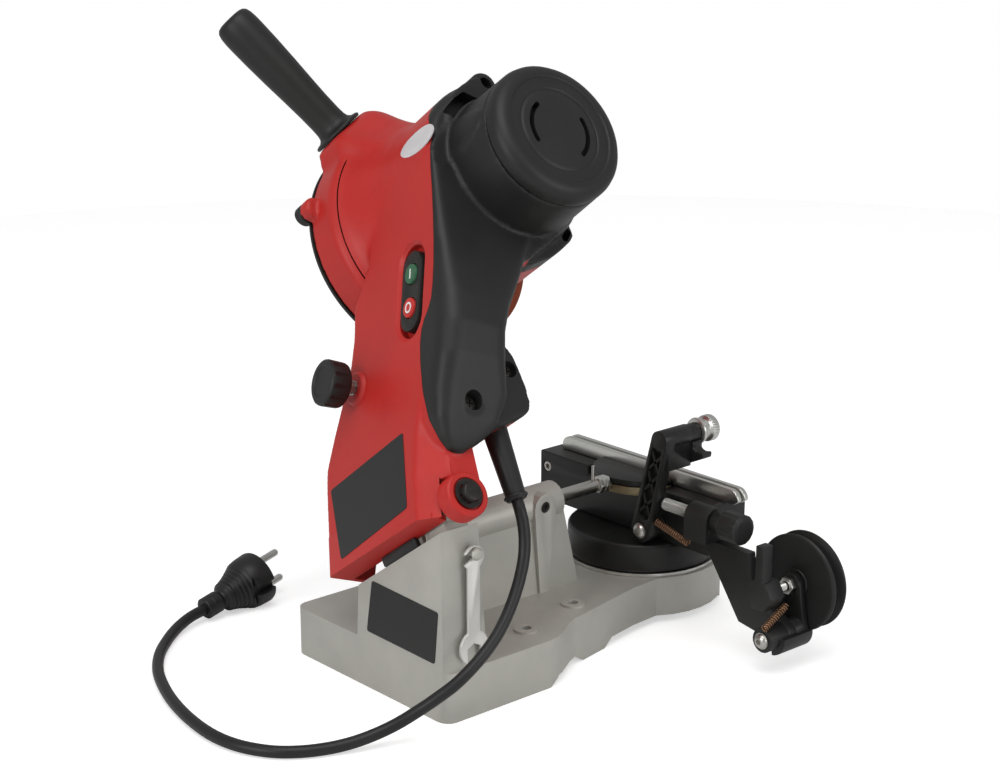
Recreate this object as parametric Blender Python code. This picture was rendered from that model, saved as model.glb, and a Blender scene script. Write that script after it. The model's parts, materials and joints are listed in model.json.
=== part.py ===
# Electric chainsaw sharpener: cast base, tilting grinding head, swivelling chain vise and guide roller.
# Metres, +Z up. The vise is toward -Y and the cord leaves at the back. The origin is on the bench.
import math

import bmesh
import bpy
from mathutils import Matrix, Vector

for old in list(bpy.data.objects):
    bpy.data.objects.remove(old, do_unlink=True)

# Shared values
gap = 0.0003
overrun = 0.004
full_turn = math.radians(360.0)
fine_steps = 36
coarse_steps = 20
small_steps = 12

# Materials: colour, roughness, metallic
palette = {
    "cast_aluminium": ((0.36, 0.37, 0.34), 0.55, 0.75),
    "zinc": ((0.62, 0.63, 0.62), 0.3, 1.0),
    "steel": ((0.45, 0.45, 0.45), 0.32, 1.0),
    "dark_steel": ((0.1, 0.09, 0.08), 0.4, 1.0),
    "brass": ((0.36, 0.28, 0.17), 0.38, 1.0),
    "spring_steel": ((0.22, 0.12, 0.07), 0.4, 1.0),
    "red_plastic": ((0.5, 0.03, 0.025), 0.38, 0.0),
    "black_plastic": ((0.02, 0.021, 0.02), 0.5, 0.0),
    "black_paint": ((0.018, 0.019, 0.018), 0.42, 0.1),
    "rubber": ((0.012, 0.012, 0.012), 0.7, 0.0),
    "abrasive": ((0.2, 0.045, 0.025), 0.9, 0.0),
    "green_button": ((0.03, 0.13, 0.08), 0.45, 0.0),
    "red_button": ((0.55, 0.03, 0.03), 0.45, 0.0),
    "copper_winding": ((0.4, 0.16, 0.06), 0.35, 1.0),
}


def material(name):
    found = bpy.data.materials.get(name)
    if found:
        return found
    colour, roughness, metallic = palette[name]
    made = bpy.data.materials.new(name)
    made.use_nodes = True
    shader = made.node_tree.nodes["Principled BSDF"]
    shader.inputs["Base Color"].default_value = (*colour, 1.0)
    shader.inputs["Roughness"].default_value = roughness
    shader.inputs["Metallic"].default_value = metallic
    made.diffuse_color = (*colour, 1.0)
    return made


def empty(name, place, turn=None, parent=None):
    made = bpy.data.objects.new(name, None)
    bpy.context.scene.collection.objects.link(made)
    made.parent = parent
    matrix = turn.to_4x4() if turn else Matrix()
    matrix.translation = Vector(place)
    made.matrix_local = matrix
    return made


def place_object(made, parent, look):
    bpy.context.scene.collection.objects.link(made)
    made.parent = parent
    if look:
        made.data.materials.append(material(look))
    return made


def mesh_object(name, build, parent, look):
    shape = bmesh.new()
    build(shape)
    bmesh.ops.recalc_face_normals(shape, faces=shape.faces)
    if shape.calc_volume(signed=True) < 0:
        bmesh.ops.reverse_faces(shape, faces=shape.faces)
    data = bpy.data.meshes.new(name)
    shape.to_mesh(data)
    shape.free()
    return place_object(bpy.data.objects.new(name, data), parent, look)


# Places a flat outline point on the plane that is square to an axis
def on_plane(axis, along, point):
    first, second = point
    if axis == "X":
        return Vector((along, first, second))
    if axis == "Y":
        return Vector((first, along, second))
    return Vector((first, second, along))


# Joins rings of equal point counts with side faces and closes both ends
def loft(name, rings, parent, look=None):
    def build(shape):
        rows = [[shape.verts.new(point) for point in ring] for ring in rings]
        shape.faces.new(rows[0])
        shape.faces.new(rows[-1])
        count = len(rows[0])
        for lower, upper in zip(rows, rows[1:]):
            for index in range(count):
                after = (index + 1) % count
                shape.faces.new((lower[index], lower[after], upper[after], upper[index]))
    return mesh_object(name, build, parent, look)


def prism(name, axis, outline, start, stop, parent, look=None):
    def build(shape):
        face = shape.faces.new([shape.verts.new(on_plane(axis, start, point)) for point in outline])
        grown = bmesh.ops.extrude_face_region(shape, geom=[face])
        moved = [part for part in grown["geom"] if isinstance(part, bmesh.types.BMVert)]
        bmesh.ops.translate(shape, verts=moved, vec=on_plane(axis, stop - start, (0, 0)))
    return mesh_object(name, build, parent, look)


# Spins a profile of (place along the axis, radius) points round a line through centre
def turned(name, axis, centre, profile, parent, look=None, steps=coarse_steps, closed=False):
    def build(shape):
        around = {"X": Vector((1, 0, 0)), "Y": Vector((0, 1, 0)), "Z": Vector((0, 0, 1))}[axis]
        middle = on_plane(axis, 0, centre)
        side = on_plane(axis, 0, (1, 0))
        points = [shape.verts.new(middle + around * along + side * radius) for along, radius in profile]
        pairs = list(zip(points, points[1:]))
        if closed:
            pairs.append((points[-1], points[0]))
        edges = [shape.edges.new(pair) for pair in pairs]
        bmesh.ops.spin(shape, geom=points + edges, cent=middle, axis=around, angle=full_turn, steps=steps)
        bmesh.ops.remove_doubles(shape, verts=shape.verts, dist=merge_distance)
    return mesh_object(name, build, parent, look)


merge_distance = 0.000001
weld_distance = 0.000003


def rod(name, axis, centre, start, stop, radius, parent, look=None, steps=coarse_steps):
    profile = ((start, 0), (start, radius), (stop, radius), (stop, 0))
    return turned(name, axis, centre, profile, parent, look, steps)


def ring(name, axis, centre, start, stop, inner, outer, parent, look=None, steps=coarse_steps):
    profile = ((start, inner), (start, outer), (stop, outer), (stop, inner))
    return turned(name, axis, centre, profile, parent, look, steps, closed=True)


def block(name, low, high, parent, look=None):
    outline = ((low[0], low[1]), (high[0], low[1]), (high[0], high[1]), (low[0], high[1]))
    return prism(name, "Z", outline, low[2], high[2], parent, look)


def boolean(target, tool, operation):
    step = target.modifiers.new(tool.name, "BOOLEAN")
    step.operation = operation
    step.object = tool
    step.solver = "EXACT"
    weld = target.modifiers.new("weld", "WELD")
    weld.merge_threshold = weld_distance
    tool.hide_render = True
    tool.display_type = "WIRE"
    return target


def cut(target, *tools):
    for tool in tools:
        boolean(target, tool, "DIFFERENCE")
    return target


def fuse(target, *tools):
    for tool in tools:
        boolean(target, tool, "UNION")
    return target


def soften(target, width, segments=2, angle_deg=35.0):
    step = target.modifiers.new("soft_edges", "BEVEL")
    step.width = width
    step.segments = segments
    step.limit_method = "ANGLE"
    step.angle_limit = math.radians(angle_deg)
    step.use_clamp_overlap = True
    return target


def arc(centre, radius, start_deg, stop_deg, steps):
    points = []
    for index in range(steps + 1):
        angle = math.radians(start_deg + (stop_deg - start_deg) * index / steps)
        points.append((centre[0] + radius * math.cos(angle), centre[1] + radius * math.sin(angle)))
    return points


def hexagon(centre, across_flats):
    return arc(centre, across_flats / math.sqrt(3), 0, 300, 5)


def tube(name, points, radius, parent, look=None, round_steps=1):
    data = bpy.data.curves.new(name, "CURVE")
    data.dimensions = "3D"
    data.bevel_depth = radius
    data.bevel_resolution = round_steps
    data.use_fill_caps = True
    data.resolution_u = 1
    data.render_resolution_u = 0
    line = data.splines.new("POLY")
    line.points.add(len(points) - 1)
    for spot, point in zip(line.points, points):
        spot.co = (*point, 1)
    return place_object(bpy.data.objects.new(name, data), parent, look)


# A helix round a straight line from one point to another, with a short straight run at each end
def coil_points(start, stop, radius, turns, per_turn, end_run):
    start, stop = Vector(start), Vector(stop)
    along = (stop - start).normalized()
    side = along.orthogonal().normalized()
    other = along.cross(side)
    length = (stop - start).length - 2 * end_run
    points = [start]
    for index in range(turns * per_turn + 1):
        angle = full_turn * index / per_turn
        reach = end_run + length * index / (turns * per_turn)
        points.append(start + along * reach + (side * math.cos(angle) + other * math.sin(angle)) * radius)
    points.append(stop)
    return points


def coil(name, start, stop, radius, wire, turns, end_run, parent, look, per_turn=9):
    points = coil_points(start, stop, radius, turns, per_turn, end_run)
    length = (Vector(stop) - Vector(start)).length - 2 * end_run
    print(name, "least gap between turns, mm:", round((length / turns - 2 * wire) * 1000, 2))
    return tube(name, points, wire, parent, look)


# Cast base
base_width = 0.148
base_rear = 0.144
base_shoulder = 0.062
base_waist_start = 0.02
base_waist_half = 0.057
base_neck_half = 0.046
base_neck_place = -0.036
base_height = 0.031
base_corner = 0.008
base_wall = 0.0045
base_roof = 0.0045
table_place = -0.089
platform_radius = 0.0535
platform_start_deg = 34.0
arch_height = 0.0052
arch_slope = 0.008
rear_arch_front = 0.018
rear_arch_rear = 0.061
front_arch_front = -0.126
front_arch_rear = -0.005
rib_thickness = 0.018
rib_front = -0.004

# Tower and hinge
hinge_place = 0.131
hinge_height = 0.086
side_tilt_deg = 35.0
lean_deg = 22.0
tower_side_inset = 0.0025
tower_side_lean = 0.002
tower_left = tower_side_inset - base_width / 2
tower_left_top = tower_left + tower_side_lean
tower_right = 0.011
tower_right_top = 0.008
tower_depth = 0.0345
tower_front_draft = 0.0085
tower_drop = 0.0135
tower_wall = 0.005
pin_radius = 0.004
pin_head_radius = 0.006
pin_head_length = 0.005
lug_radius = 0.009
lug_web_rear = 0.007
inner_lug_start = 0.012
inner_lug_length = 0.016
outer_lug_start = 0.054
outer_lug_end = 0.0852
outer_lug_web_end = 0.074
retainer_radius = 0.009
retainer_thickness = 0.0008
bumper_start = 0.012
bumper_length = 0.038
bumper_front = 0.0056
bumper_rear = 0.0093
lift_spring_radius = 0.0054
lift_spring_wire = 0.0011
lift_spring_turns = 7
lift_spring_end_run = 0.002

# Spine with the tube boss
spine_half = 0.0095
spine_foot_half = 0.0115
boss_radius = 0.012
rod_height = 0.0865
boss_end = -0.007
spine_foot_end = -0.02
boss_rear = 0.107
rib_face_place = 0.011
rib_top = 0.088
rib_half = 0.009
rib_stand = 0.004
set_screw_radius = 0.0035
set_screw_length = 0.004
foot_boss_radius = 0.008
foot_boss_stand = 0.0015
foot_hole_radius = 0.0033
foot_boss_inset = 0.022
foot_boss_side = base_width / 2 - foot_boss_inset
foot_boss_place = 0.062
front_hole_place = 0.012

# Hinge frame: X runs up the hinge axis toward the motor, Y up the head and Z out of the label face
tilt = math.radians(side_tilt_deg)
lean = math.radians(lean_deg)
hinge_line = Vector((-math.cos(tilt), 0, math.sin(tilt)))
rise_line = Vector((math.sin(tilt), 0, math.cos(tilt)))
head_up = rise_line * math.cos(lean) - Vector((0, 1, 0)) * math.sin(lean)
head_out = rise_line * math.sin(lean) + Vector((0, 1, 0)) * math.cos(lean)
hinge_centre = Vector((0, hinge_place, hinge_height))
tower_frame = empty("hinge_frame", hinge_centre,
                    Matrix((hinge_line, rise_line, Vector((0, 1, 0)))).transposed())
head_frame = empty("head_axis", hinge_centre, Matrix((hinge_line, head_up, head_out)).transposed())


# Half of the base's plan, from the rear middle round to the platform, drawn in by a margin
def base_outline(margin):
    half = base_width / 2 - margin
    rear = base_rear - margin
    corner = base_corner - margin / 2
    right = [(half - corner + x, rear - corner + y) for x, y in arc((0, 0), corner, 90, 0, 4)]
    right.append((half, base_shoulder))
    waist = base_waist_half - margin
    blend_steps = 6
    for index in range(1, blend_steps + 1):
        share = index / blend_steps
        ease = (1 - math.cos(math.pi * share)) / 2
        right.append((half + (waist - half) * ease, base_shoulder + (base_waist_start - base_shoulder) * share))
    right.append((base_neck_half - margin, base_neck_place))
    platform = arc((0, table_place), platform_radius - margin, platform_start_deg,
                   -180 - platform_start_deg, 20)
    left = [(-x, y) for x, y in reversed(right)]
    return right + platform + left


# Height of the tower's slanted top above the bench at a sideways place
def tower_top(place):
    return hinge_height - (tower_drop + place * math.sin(tilt)) / math.cos(tilt)


def tower_rings(margin, foot):
    left, right = tower_left + margin, tower_right - margin
    left_top, right_top = tower_left_top + margin, tower_right_top - margin
    rear = base_rear - margin
    front = base_rear - tower_depth + margin
    corners = ((left, foot), (right, foot), (right_top, tower_top(right_top) - margin * 2),
               (left_top, tower_top(left_top) - margin * 2))
    rear_ring = [Vector((x, rear, z)) for x, z in corners]
    reach = tower_top(left_top)
    front_ring = [Vector((x, front + tower_front_draft * max(0, z - base_height) / reach, z))
                  for x, z in corners]
    return [rear_ring, front_ring]


def make_base():
    floor = base_height - base_roof
    base = prism("base_casting", "Z", base_outline(0), 0, base_height, None, "cast_aluminium")
    hollow = prism("base_hollow", "Z", base_outline(base_wall), -overrun, floor, None)
    rib = block("base_rib", (-base_neck_half, rib_front, 0),
                (base_neck_half, rib_front + rib_thickness, base_height - base_roof / 2), None)
    arches = []
    for name, front, rear in (("rear_arch", rear_arch_front, rear_arch_rear),
                              ("front_arch", front_arch_front, front_arch_rear)):
        outline = ((front, -overrun), (rear, -overrun), (rear, 0), (rear - arch_slope, arch_height),
                   (front + arch_slope, arch_height), (front, 0))
        arches.append(prism(name, "X", outline, -base_width, base_width, None))
    tower = loft("tower_body", tower_rings(0, base_height / 2), None)
    tower_hollow = loft("tower_hollow", tower_rings(tower_wall, -overrun), None)
    spine_low, spine_high = base_height - base_roof / 2, rod_height
    rear = base_rear - tower_depth + tower_wall
    spine_rings = []
    for half, height, end in ((spine_foot_half, spine_low, spine_foot_end), (spine_half, spine_high, boss_end)):
        spine_rings.append([Vector((-half, end, height)), Vector((half, end, height)),
                            Vector((half, rear, height)), Vector((-half, rear, height))])
    spine = loft("spine_wall", spine_rings, None)
    boss = rod("spine_boss", "Y", (0, rod_height), boss_end, boss_rear, boss_radius, None)
    face = -spine_half - rib_stand
    rib_outline = arc((rib_face_place, rib_top), rib_half, 0, 180, 6) + [
        (rib_face_place - rib_half / 3, base_height / 2), (rib_face_place + rib_half / 3, base_height / 2)]
    side_rib = prism("spine_side_rib", "X", rib_outline, face, 0, None)
    bore = rod("rod_bore", "Y", (0, rod_height), boss_end - overrun, rear + overrun, push_rod_radius + gap, None)
    screw_bore = rod("set_screw_bore", "X", (rib_face_place, rib_top), face - overrun, -push_rod_radius / 2,
                     set_screw_radius + gap, None, steps=small_steps)
    swivel_bore = rod("swivel_bore", "Z", (0, table_place), -overrun, base_height + overrun,
                      swivel_radius + gap, None)
    fuse(base, tower)
    cut(base, hollow, tower_hollow)
    fuse(base, rib, spine, side_rib, boss)
    cut(base, *arches)
    lugs = []
    for name, start, stop, web_stop in (
            ("inner_lug", inner_lug_start, inner_lug_start + inner_lug_length, inner_lug_start + inner_lug_length),
            ("outer_lug", outer_lug_start, outer_lug_end, outer_lug_web_end)):
        barrel = rod(name, "X", (0, 0), start, stop, lug_radius, tower_frame)
        web = block(name + "_web", (start, -tower_drop - tower_wall / 2, -lug_radius),
                    (web_stop, 0, lug_web_rear), tower_frame)
        lugs += [web, barrel]
    fuse(base, *lugs)
    pin_bore = rod("pin_bore", "X", (0, 0), inner_lug_start - overrun, outer_lug_end + overrun,
                   pin_radius + gap, tower_frame)
    cut(base, bore, screw_bore, swivel_bore, pin_bore)
    for side in (-1, 1):
        for name, place in (("rear", foot_boss_place), ("front", front_hole_place)):
            across = side * (foot_boss_side if name == "rear" else foot_boss_side * front_boss_share)
            pad = rod(name + "_foot_boss", "Z", (across, place), base_height - base_roof / 2,
                      base_height + foot_boss_stand, foot_boss_radius, None)
            hole = rod(name + "_foot_hole", "Z", (across, place), -overrun, base_height + overrun,
                       foot_hole_radius, None, steps=small_steps)
            fuse(base, pad)
            cut(base, hole)
    return base


front_boss_share = 0.78

# Push rod and its parts
push_rod_radius = 0.0043
push_rod_front = -0.046
cam_radius = 0.0085
cam_offset = 0.003
cam_rest_deg = 80.0
bolt_shank_radius = 0.003
bolt_across_flats = 0.010
bolt_head_length = 0.004
nut_across_flats = 0.010
nut_length = 0.005
rod_pin_radius = 0.0012
rod_pin_length = 0.014
push_play = 0.0012

# Vise table
swivel_radius = 0.005
swivel_head_radius = 0.009
swivel_head_height = 0.004
scale_ring_radius = 0.0512
scale_ring_width = 0.01
scale_ring_thickness = 0.002
disc_radius = 0.0495
disc_thickness = 0.0187
disc_edge = 0.0015
block_right = 0.081
block_left = -0.078
block_front = -0.016
block_rear = 0.018
block_top = 0.0865
rail_thickness = 0.0036
rail_opening = 0.0026
rail_height = 0.0095
rail_right = 0.073
rail_left = -0.09
rail_round = 0.007
clamp_radius = 0.033
clamp_thickness = 0.0038
clamp_ring_height = 0.006
clamp_ring_inset = 0.0004
clamp_room = 0.003
block_screw_place = 0.074
block_screw_height = 0.076
block_screw_radius = 0.0035
block_screw_length = 0.012
end_block_left = -0.091
end_block_right = -0.072
end_block_front = 0.0183
end_block_rear = 0.0353
end_block_foot = 0.068
stop_screw_height = 0.0825
stop_screw_radius = 0.004
knob_radius = 0.01
knob_start = -0.099
knob_length = 0.017
collar_radius = 0.0072
lever_front = 0.026
lever_rear = 0.034
lever_foot = (-0.0325, 0.062)
lever_head = (-0.0475, 0.126)
lever_foot_radius = 0.008
lever_head_radius = 0.0066
lever_boss_end = 0.0095
lever_rib_depth = 0.0035
lever_rib = 0.0018
pivot_radius = 0.003
pivot_head_radius = 0.0052
pivot_head_length = 0.0032
gusset_thickness = 0.005
gusset_drop = 0.02
pawl_thickness = 0.0085
pawl_hub_radius = 0.006
pawl_reach = 0.019
pawl_tip_share = 0.35
thumb_radius = 0.0088
thumb_waist = 0.0066
thumb_length = 0.0145
stud_radius = 0.0025
stop_spring_radius = 0.0022
stop_spring_wire = 0.0004
stop_spring_turns = 18
stop_spring_end_run = 0.002
spring_end_drop = 0.009
arm_front = 0.0188
arm_thickness = 0.0068
arm_top_right = -0.079
arm_top_left = -0.118
arm_top_right_height = 0.0675
arm_top_left_height = 0.0625
arm_low_right = (-0.112, 0.021)
roller_pivot = (-0.146, 0.023)
roller_axis = (-0.141, 0.0506)
roller_boss_radius = 0.0078
roller_boss_rear = 0.0415
roller_web_thickness = 0.003
roller_plate_front = 0.0072
roller_plate_thickness = 0.0045
roller_radius = 0.031
roller_half = 0.0062
roller_groove = 0.0085
roller_hub_radius = 0.0065
roller_bolt_radius = 0.0029
roller_bolt_front = -0.0105
roller_nut_across_flats = 0.0098
roller_nut_length = 0.004
wing_start = 0.028
wing_length = 0.013
wing_radius = 0.0105
wing_tab_half = 0.0032
wing_tab_top = 0.032
roller_spring_radius = 0.0021
roller_spring_wire = 0.0004
roller_spring_turns = 13
roller_spring_end_run = 0.0015
roller_spring_start = (-0.149, 0.0445, 0.0315)
roller_spring_stop = (-0.1495, 0.024, 0.043)
table_top = base_height + scale_ring_thickness + 2 * gap + disc_thickness
cam_reach = cam_radius + cam_offset * math.cos(math.radians(cam_rest_deg))
vise_frame = empty("vise_axis", (0, table_place, 0))


def make_hinge():
    pin_start = shell_left + shell_wall / 4
    head_start = ear_outer + gap
    profile = ((pin_start, 0), (pin_start, pin_radius), (head_start + retainer_thickness, pin_radius),
               (head_start + retainer_thickness, pin_head_radius),
               (head_start + pin_head_length, pin_head_radius), (head_start + pin_head_length, 0))
    turned("hinge_pin", "X", (0, 0), profile, tower_frame, "dark_steel")
    ring("hinge_pin_ring", "X", (0, 0), head_start, head_start + retainer_thickness - gap,
         pin_radius + gap, retainer_radius, tower_frame, "dark_steel")
    start = inner_lug_start + inner_lug_length + gap
    stop = outer_lug_start - gap
    wind = coil_points((start + lift_spring_wire, 0, 0), (stop - lift_spring_wire, 0, 0), lift_spring_radius,
                       lift_spring_turns, 9, lift_spring_end_run)
    length = stop - start - 2 * lift_spring_wire - 2 * lift_spring_end_run
    print("return_spring least gap between turns, mm:",
          round((length / lift_spring_turns - 2 * lift_spring_wire) * 1000, 2))
    tube("return_spring", wind[1:-1], lift_spring_wire, tower_frame, "spring_steel")


def make_bumper():
    low = -tower_drop + gap
    up, out = math.cos(lean), math.sin(lean)
    foot = -lip_drop - gap
    front, rear = [(foot * up + depth * out, -foot * out + depth * up) for depth in (bumper_front, bumper_rear)]
    outline = ((low, front[1]), (low, rear[1]), rear, front)
    prism("rest_bumper", "X", outline, bumper_start, bumper_start + bumper_length, tower_frame, "rubber")


peg_radius = 0.0024
peg_head_radius = 0.0042
peg_reach = 0.0096
peg_place = 0.1233
peg_height = 0.1026
wrench_thickness = 0.002
wrench_shank_half = 0.0045
wrench_head_radius = 0.0105
wrench_hook_radius = 0.0075
wrench_jaw = 0.010
wrench_length = 0.0585
wrench_stand = 0.0012
plate_thickness = 0.0005


def make_base_fittings():
    ring("angle_scale_ring", "Z", (0, table_place), base_height + gap, base_height + gap + scale_ring_thickness,
         scale_ring_radius - scale_ring_width, scale_ring_radius, None, "zinc", fine_steps)
    face = -spine_half - rib_stand
    screw = rod("rod_set_screw", "X", (rib_face_place, rib_top), face + gap, face + gap + set_screw_length,
                set_screw_radius, None, "dark_steel", steps=small_steps)
    socket = prism("set_screw_socket", "X", hexagon((rib_face_place, rib_top), set_screw_radius),
                   face - overrun, face + set_screw_length / 2, None)
    cut(screw, socket)
    top = table_top
    profile = ((base_height - base_roof - swivel_head_height - gap, 0),
               (base_height - base_roof - swivel_head_height - gap, swivel_head_radius),
               (base_height - base_roof - gap, swivel_head_radius),
               (base_height - base_roof - gap, swivel_radius),
               (top - gap, swivel_radius), (top - gap, 0))
    turned("swivel_bolt", "Z", (0, table_place), profile, None, "steel")
    wall = tower_left + (tower_left_top - tower_left) * (peg_height - base_height) / (
        tower_top(tower_left_top) - base_height)
    out = wall - gap - peg_reach
    profile = ((out, 0), (out, peg_head_radius * 2 / 3), (out + peg_head_radius / 2, peg_head_radius),
               (out + peg_head_radius, peg_head_radius * 2 / 3), (out + peg_head_radius, peg_radius),
               (wall - gap, peg_radius), (wall - gap, 0))
    turned("wrench_peg", "X", (peg_place, peg_height), profile, None, "steel", steps=small_steps)


wrench_frame = empty("wrench_axis", (0, peg_place, peg_height))


def make_wrench():
    wall = tower_left - gap
    start, stop = wall - wrench_stand - wrench_thickness, wall - wrench_stand
    low = -wrench_length
    drop = -(peg_radius + wrench_ring_clearance)
    wrench = rod("wrench", "X", (0, low), start, stop, wrench_head_radius, wrench_frame, "zinc", coarse_steps)
    hook = rod("wrench_hook", "X", (0, drop), start, stop, wrench_hook_radius, wrench_frame)
    shank = block("wrench_shank", (start, -wrench_shank_half, low), (stop, wrench_shank_half, drop), wrench_frame)
    half = wrench_jaw / 2
    jaw_outline = [(-half, low - 2 * wrench_head_radius), (half, low - 2 * wrench_head_radius),
                   (half, low), (0, low + half / 2), (-half, low)]
    jaw = prism("wrench_jaw", "X", jaw_outline, start - overrun, stop + overrun, wrench_frame)
    eye = rod("wrench_eye", "X", (0, 0), start - overrun, stop + overrun, peg_radius + wrench_ring_clearance,
              wrench_frame)
    mouth_half = peg_radius + wrench_ring_clearance
    mouth = prism("wrench_mouth", "X", ((0, -mouth_half), (0, mouth_half),
                  (2 * wrench_hook_radius, mouth_half - wrench_hook_radius),
                  (2 * wrench_hook_radius, -mouth_half - wrench_hook_radius)),
                  start - overrun, stop + overrun, wrench_frame)
    fuse(wrench, hook, shank)
    cut(wrench, jaw, eye, mouth)
    return wrench


wrench_ring_clearance = 0.0008


def make_push_rod():
    rear = hinge_place - cam_reach - gap
    centre = (0, rod_height)
    rod_body = rod("push_rod", "Y", centre, push_rod_front, rear, push_rod_radius, None, "steel")
    socket = rod("rod_socket", "Y", centre, push_rod_front - overrun, push_rod_front + bolt_socket_depth,
                 bolt_shank_radius + gap, None, steps=small_steps)
    pin_place = push_rod_front + nut_length / 2
    pin_bore = rod("rod_pin_bore", "Z", (0, pin_place), rod_height + gap, rod_height + 2 * push_rod_radius,
                   rod_pin_radius + gap, None, steps=small_steps)
    cut(rod_body, socket, pin_bore)
    rod("rod_pin", "Z", (0, pin_place), rod_height + bolt_shank_radius + 2 * gap,
        rod_height + rod_pin_length, rod_pin_radius, None, "steel", steps=small_steps)
    head_face = table_place + clamp_radius - clamp_ring_inset + push_play
    profile = ((push_rod_front + bolt_socket_depth - gap, 0),
               (push_rod_front + bolt_socket_depth - gap, bolt_shank_radius),
               (head_face + bolt_head_length, bolt_shank_radius), (head_face + bolt_head_length, 0))
    bolt = turned("push_rod_bolt", "Y", centre, profile, None, "zinc", steps=small_steps)
    head = prism("bolt_head", "Y", hexagon(centre, bolt_across_flats), head_face,
                 head_face + bolt_head_length + gap, None)
    fuse(bolt, head)
    nut_start = head_face + bolt_head_length + 2 * gap
    nut_stop = push_rod_front - gap
    nut = prism("push_rod_nut", "Y", hexagon(centre, nut_across_flats), nut_start,
                min(nut_start + nut_length, nut_stop), None, "zinc")
    nut_bore = rod("nut_bore", "Y", centre, nut_start - overrun, nut_stop + overrun, bolt_shank_radius + gap,
                   None, steps=small_steps)
    cut(nut, nut_bore)


bolt_socket_depth = 0.012


# Rounded bar between two rails' ends, seen from the side
def rail_outline():
    low, high = block_top + gap, block_top + gap + rail_height
    round_left = arc((rail_left + rail_round, high - rail_round), rail_round, 180, 90, 5)
    round_right = arc((rail_right - rail_round, high - rail_round), rail_round, 90, 0, 5)
    return [(rail_left + rail_round / 2, low)] + round_left + round_right + [(rail_right, low)]


def make_vise():
    swivel_clear = swivel_radius + gap
    low = base_height + scale_ring_thickness + 2 * gap
    profile = ((low, swivel_clear), (low, disc_radius), (table_top - disc_edge, disc_radius),
               (table_top, disc_radius - disc_edge), (table_top, swivel_clear))
    turned("table_disc", "Z", (0, 0), profile, vise_frame, "black_paint", fine_steps, closed=True)
    bottom = table_top + gap
    body = block("vise_block", (block_left, block_front, bottom), (block_right, block_rear, block_top),
                 vise_frame, "black_paint")
    boss = rod("lever_boss", "Y", lever_foot, 0, lever_front - gap, lever_foot_radius * 0.9, vise_frame)
    pocket_half = clamp_radius + 2 * gap
    pocket = block("clamp_pocket", (-pocket_half, rail_opening / 2 + rail_thickness - clamp_room,
                                    block_top - clamp_ring_height - 2 * gap),
                   (pocket_half, block_rear + overrun, block_top + overrun), vise_frame)
    screw_centre = (block_screw_place, block_screw_height)
    screw_bore = rod("block_screw_bore", "Y", screw_centre, block_rear - block_screw_length - gap,
                     block_rear + overrun, block_screw_radius + gap, vise_frame, steps=small_steps)
    pivot_bore = rod("lever_pivot_bore", "Y", lever_foot, block_rear - pivot_depth - gap, lever_rear,
                     pivot_radius + gap, vise_frame, steps=small_steps)
    fuse(body, boss)
    cut(body, pocket)
    soften(body, disc_edge / 2, 1)
    cut(body, screw_bore, pivot_bore)
    screw = rod("block_screw", "Y", screw_centre, block_rear - block_screw_length, block_rear - gap,
                block_screw_radius, vise_frame, "steel", steps=small_steps)
    socket = prism("block_screw_socket", "Y", hexagon(screw_centre, block_screw_radius),
                   block_rear - block_screw_length / 3, block_rear + overrun, vise_frame)
    cut(screw, socket)
    half = rail_opening / 2
    prism("front_rail", "Y", rail_outline(), -half - rail_thickness, -half, vise_frame, "zinc")
    prism("rear_rail", "Y", rail_outline(), half, half + rail_thickness, vise_frame, "zinc")
    flat = half + rail_thickness + gap
    for name, radius, low, high, look in (
            ("clamp_ring", clamp_radius - clamp_ring_inset, block_top - clamp_ring_height, block_top - gap, "brass"),
            ("clamp_plate", clamp_radius, block_top + gap, block_top + gap + clamp_thickness, "black_paint")):
        edge_deg = math.degrees(math.asin(flat / radius))
        outline = arc((0, 0), radius, edge_deg, 180 - edge_deg, 18)
        prism(name, "Z", outline, low, high, vise_frame, look)


pivot_depth = 0.008


def make_stop():
    half = (end_block_rear - end_block_front) / 2
    middle = end_block_front + half
    outline = [(end_block_front, end_block_foot), (end_block_rear, end_block_foot)]
    outline += arc((middle, stop_screw_height), half, 0, 180, 8)
    body = prism("end_block", "X", outline, end_block_left, end_block_right, vise_frame, "black_plastic")
    centre = (middle, stop_screw_height)
    bore = rod("stop_screw_bore", "X", centre, end_block_left - overrun, end_block_right + overrun,
               stop_screw_radius + gap, vise_frame)
    cut(body, bore)
    foot, head = Vector(lever_foot), Vector(lever_head)
    share = (stop_screw_height - foot.y) / (head.y - foot.y)
    edge = foot.x + (head.x - foot.x) * share - (
        lever_foot_radius + (lever_head_radius - lever_foot_radius) * share) / math.cos(
        math.atan2(foot.x - head.x, head.y - foot.y))
    rod("stop_screw", "X", centre, knob_start + gap, edge - 4 * gap, stop_screw_radius, vise_frame, "zinc")
    knob_stop = knob_start - knob_length
    clear = stop_screw_radius + gap
    profile = ((knob_start, 0), (knob_start, clear), (end_block_left - 2 * gap, clear),
               (end_block_left - 2 * gap, collar_radius), (knob_start, collar_radius), (knob_start, knob_radius),
               (knob_stop + knob_radius / 5, knob_radius), (knob_stop, knob_radius * 4 / 5), (knob_stop, 0))
    turned("adjusting_knob", "X", centre, profile, vise_frame, "black_plastic", coarse_steps)


# Outline round two circles, made of their outer tangents and arcs
def strap_outline(first, first_radius, second, second_radius, steps):
    first, second = Vector(first), Vector(second)
    line = second - first
    heading = math.degrees(math.atan2(line.y, line.x))
    spread = math.degrees(math.acos((first_radius - second_radius) / line.length))
    outline = arc(second, second_radius, heading - spread, heading + spread, steps)
    outline += arc(first, first_radius, heading + spread, heading + 360 - spread, steps)
    return outline


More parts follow.
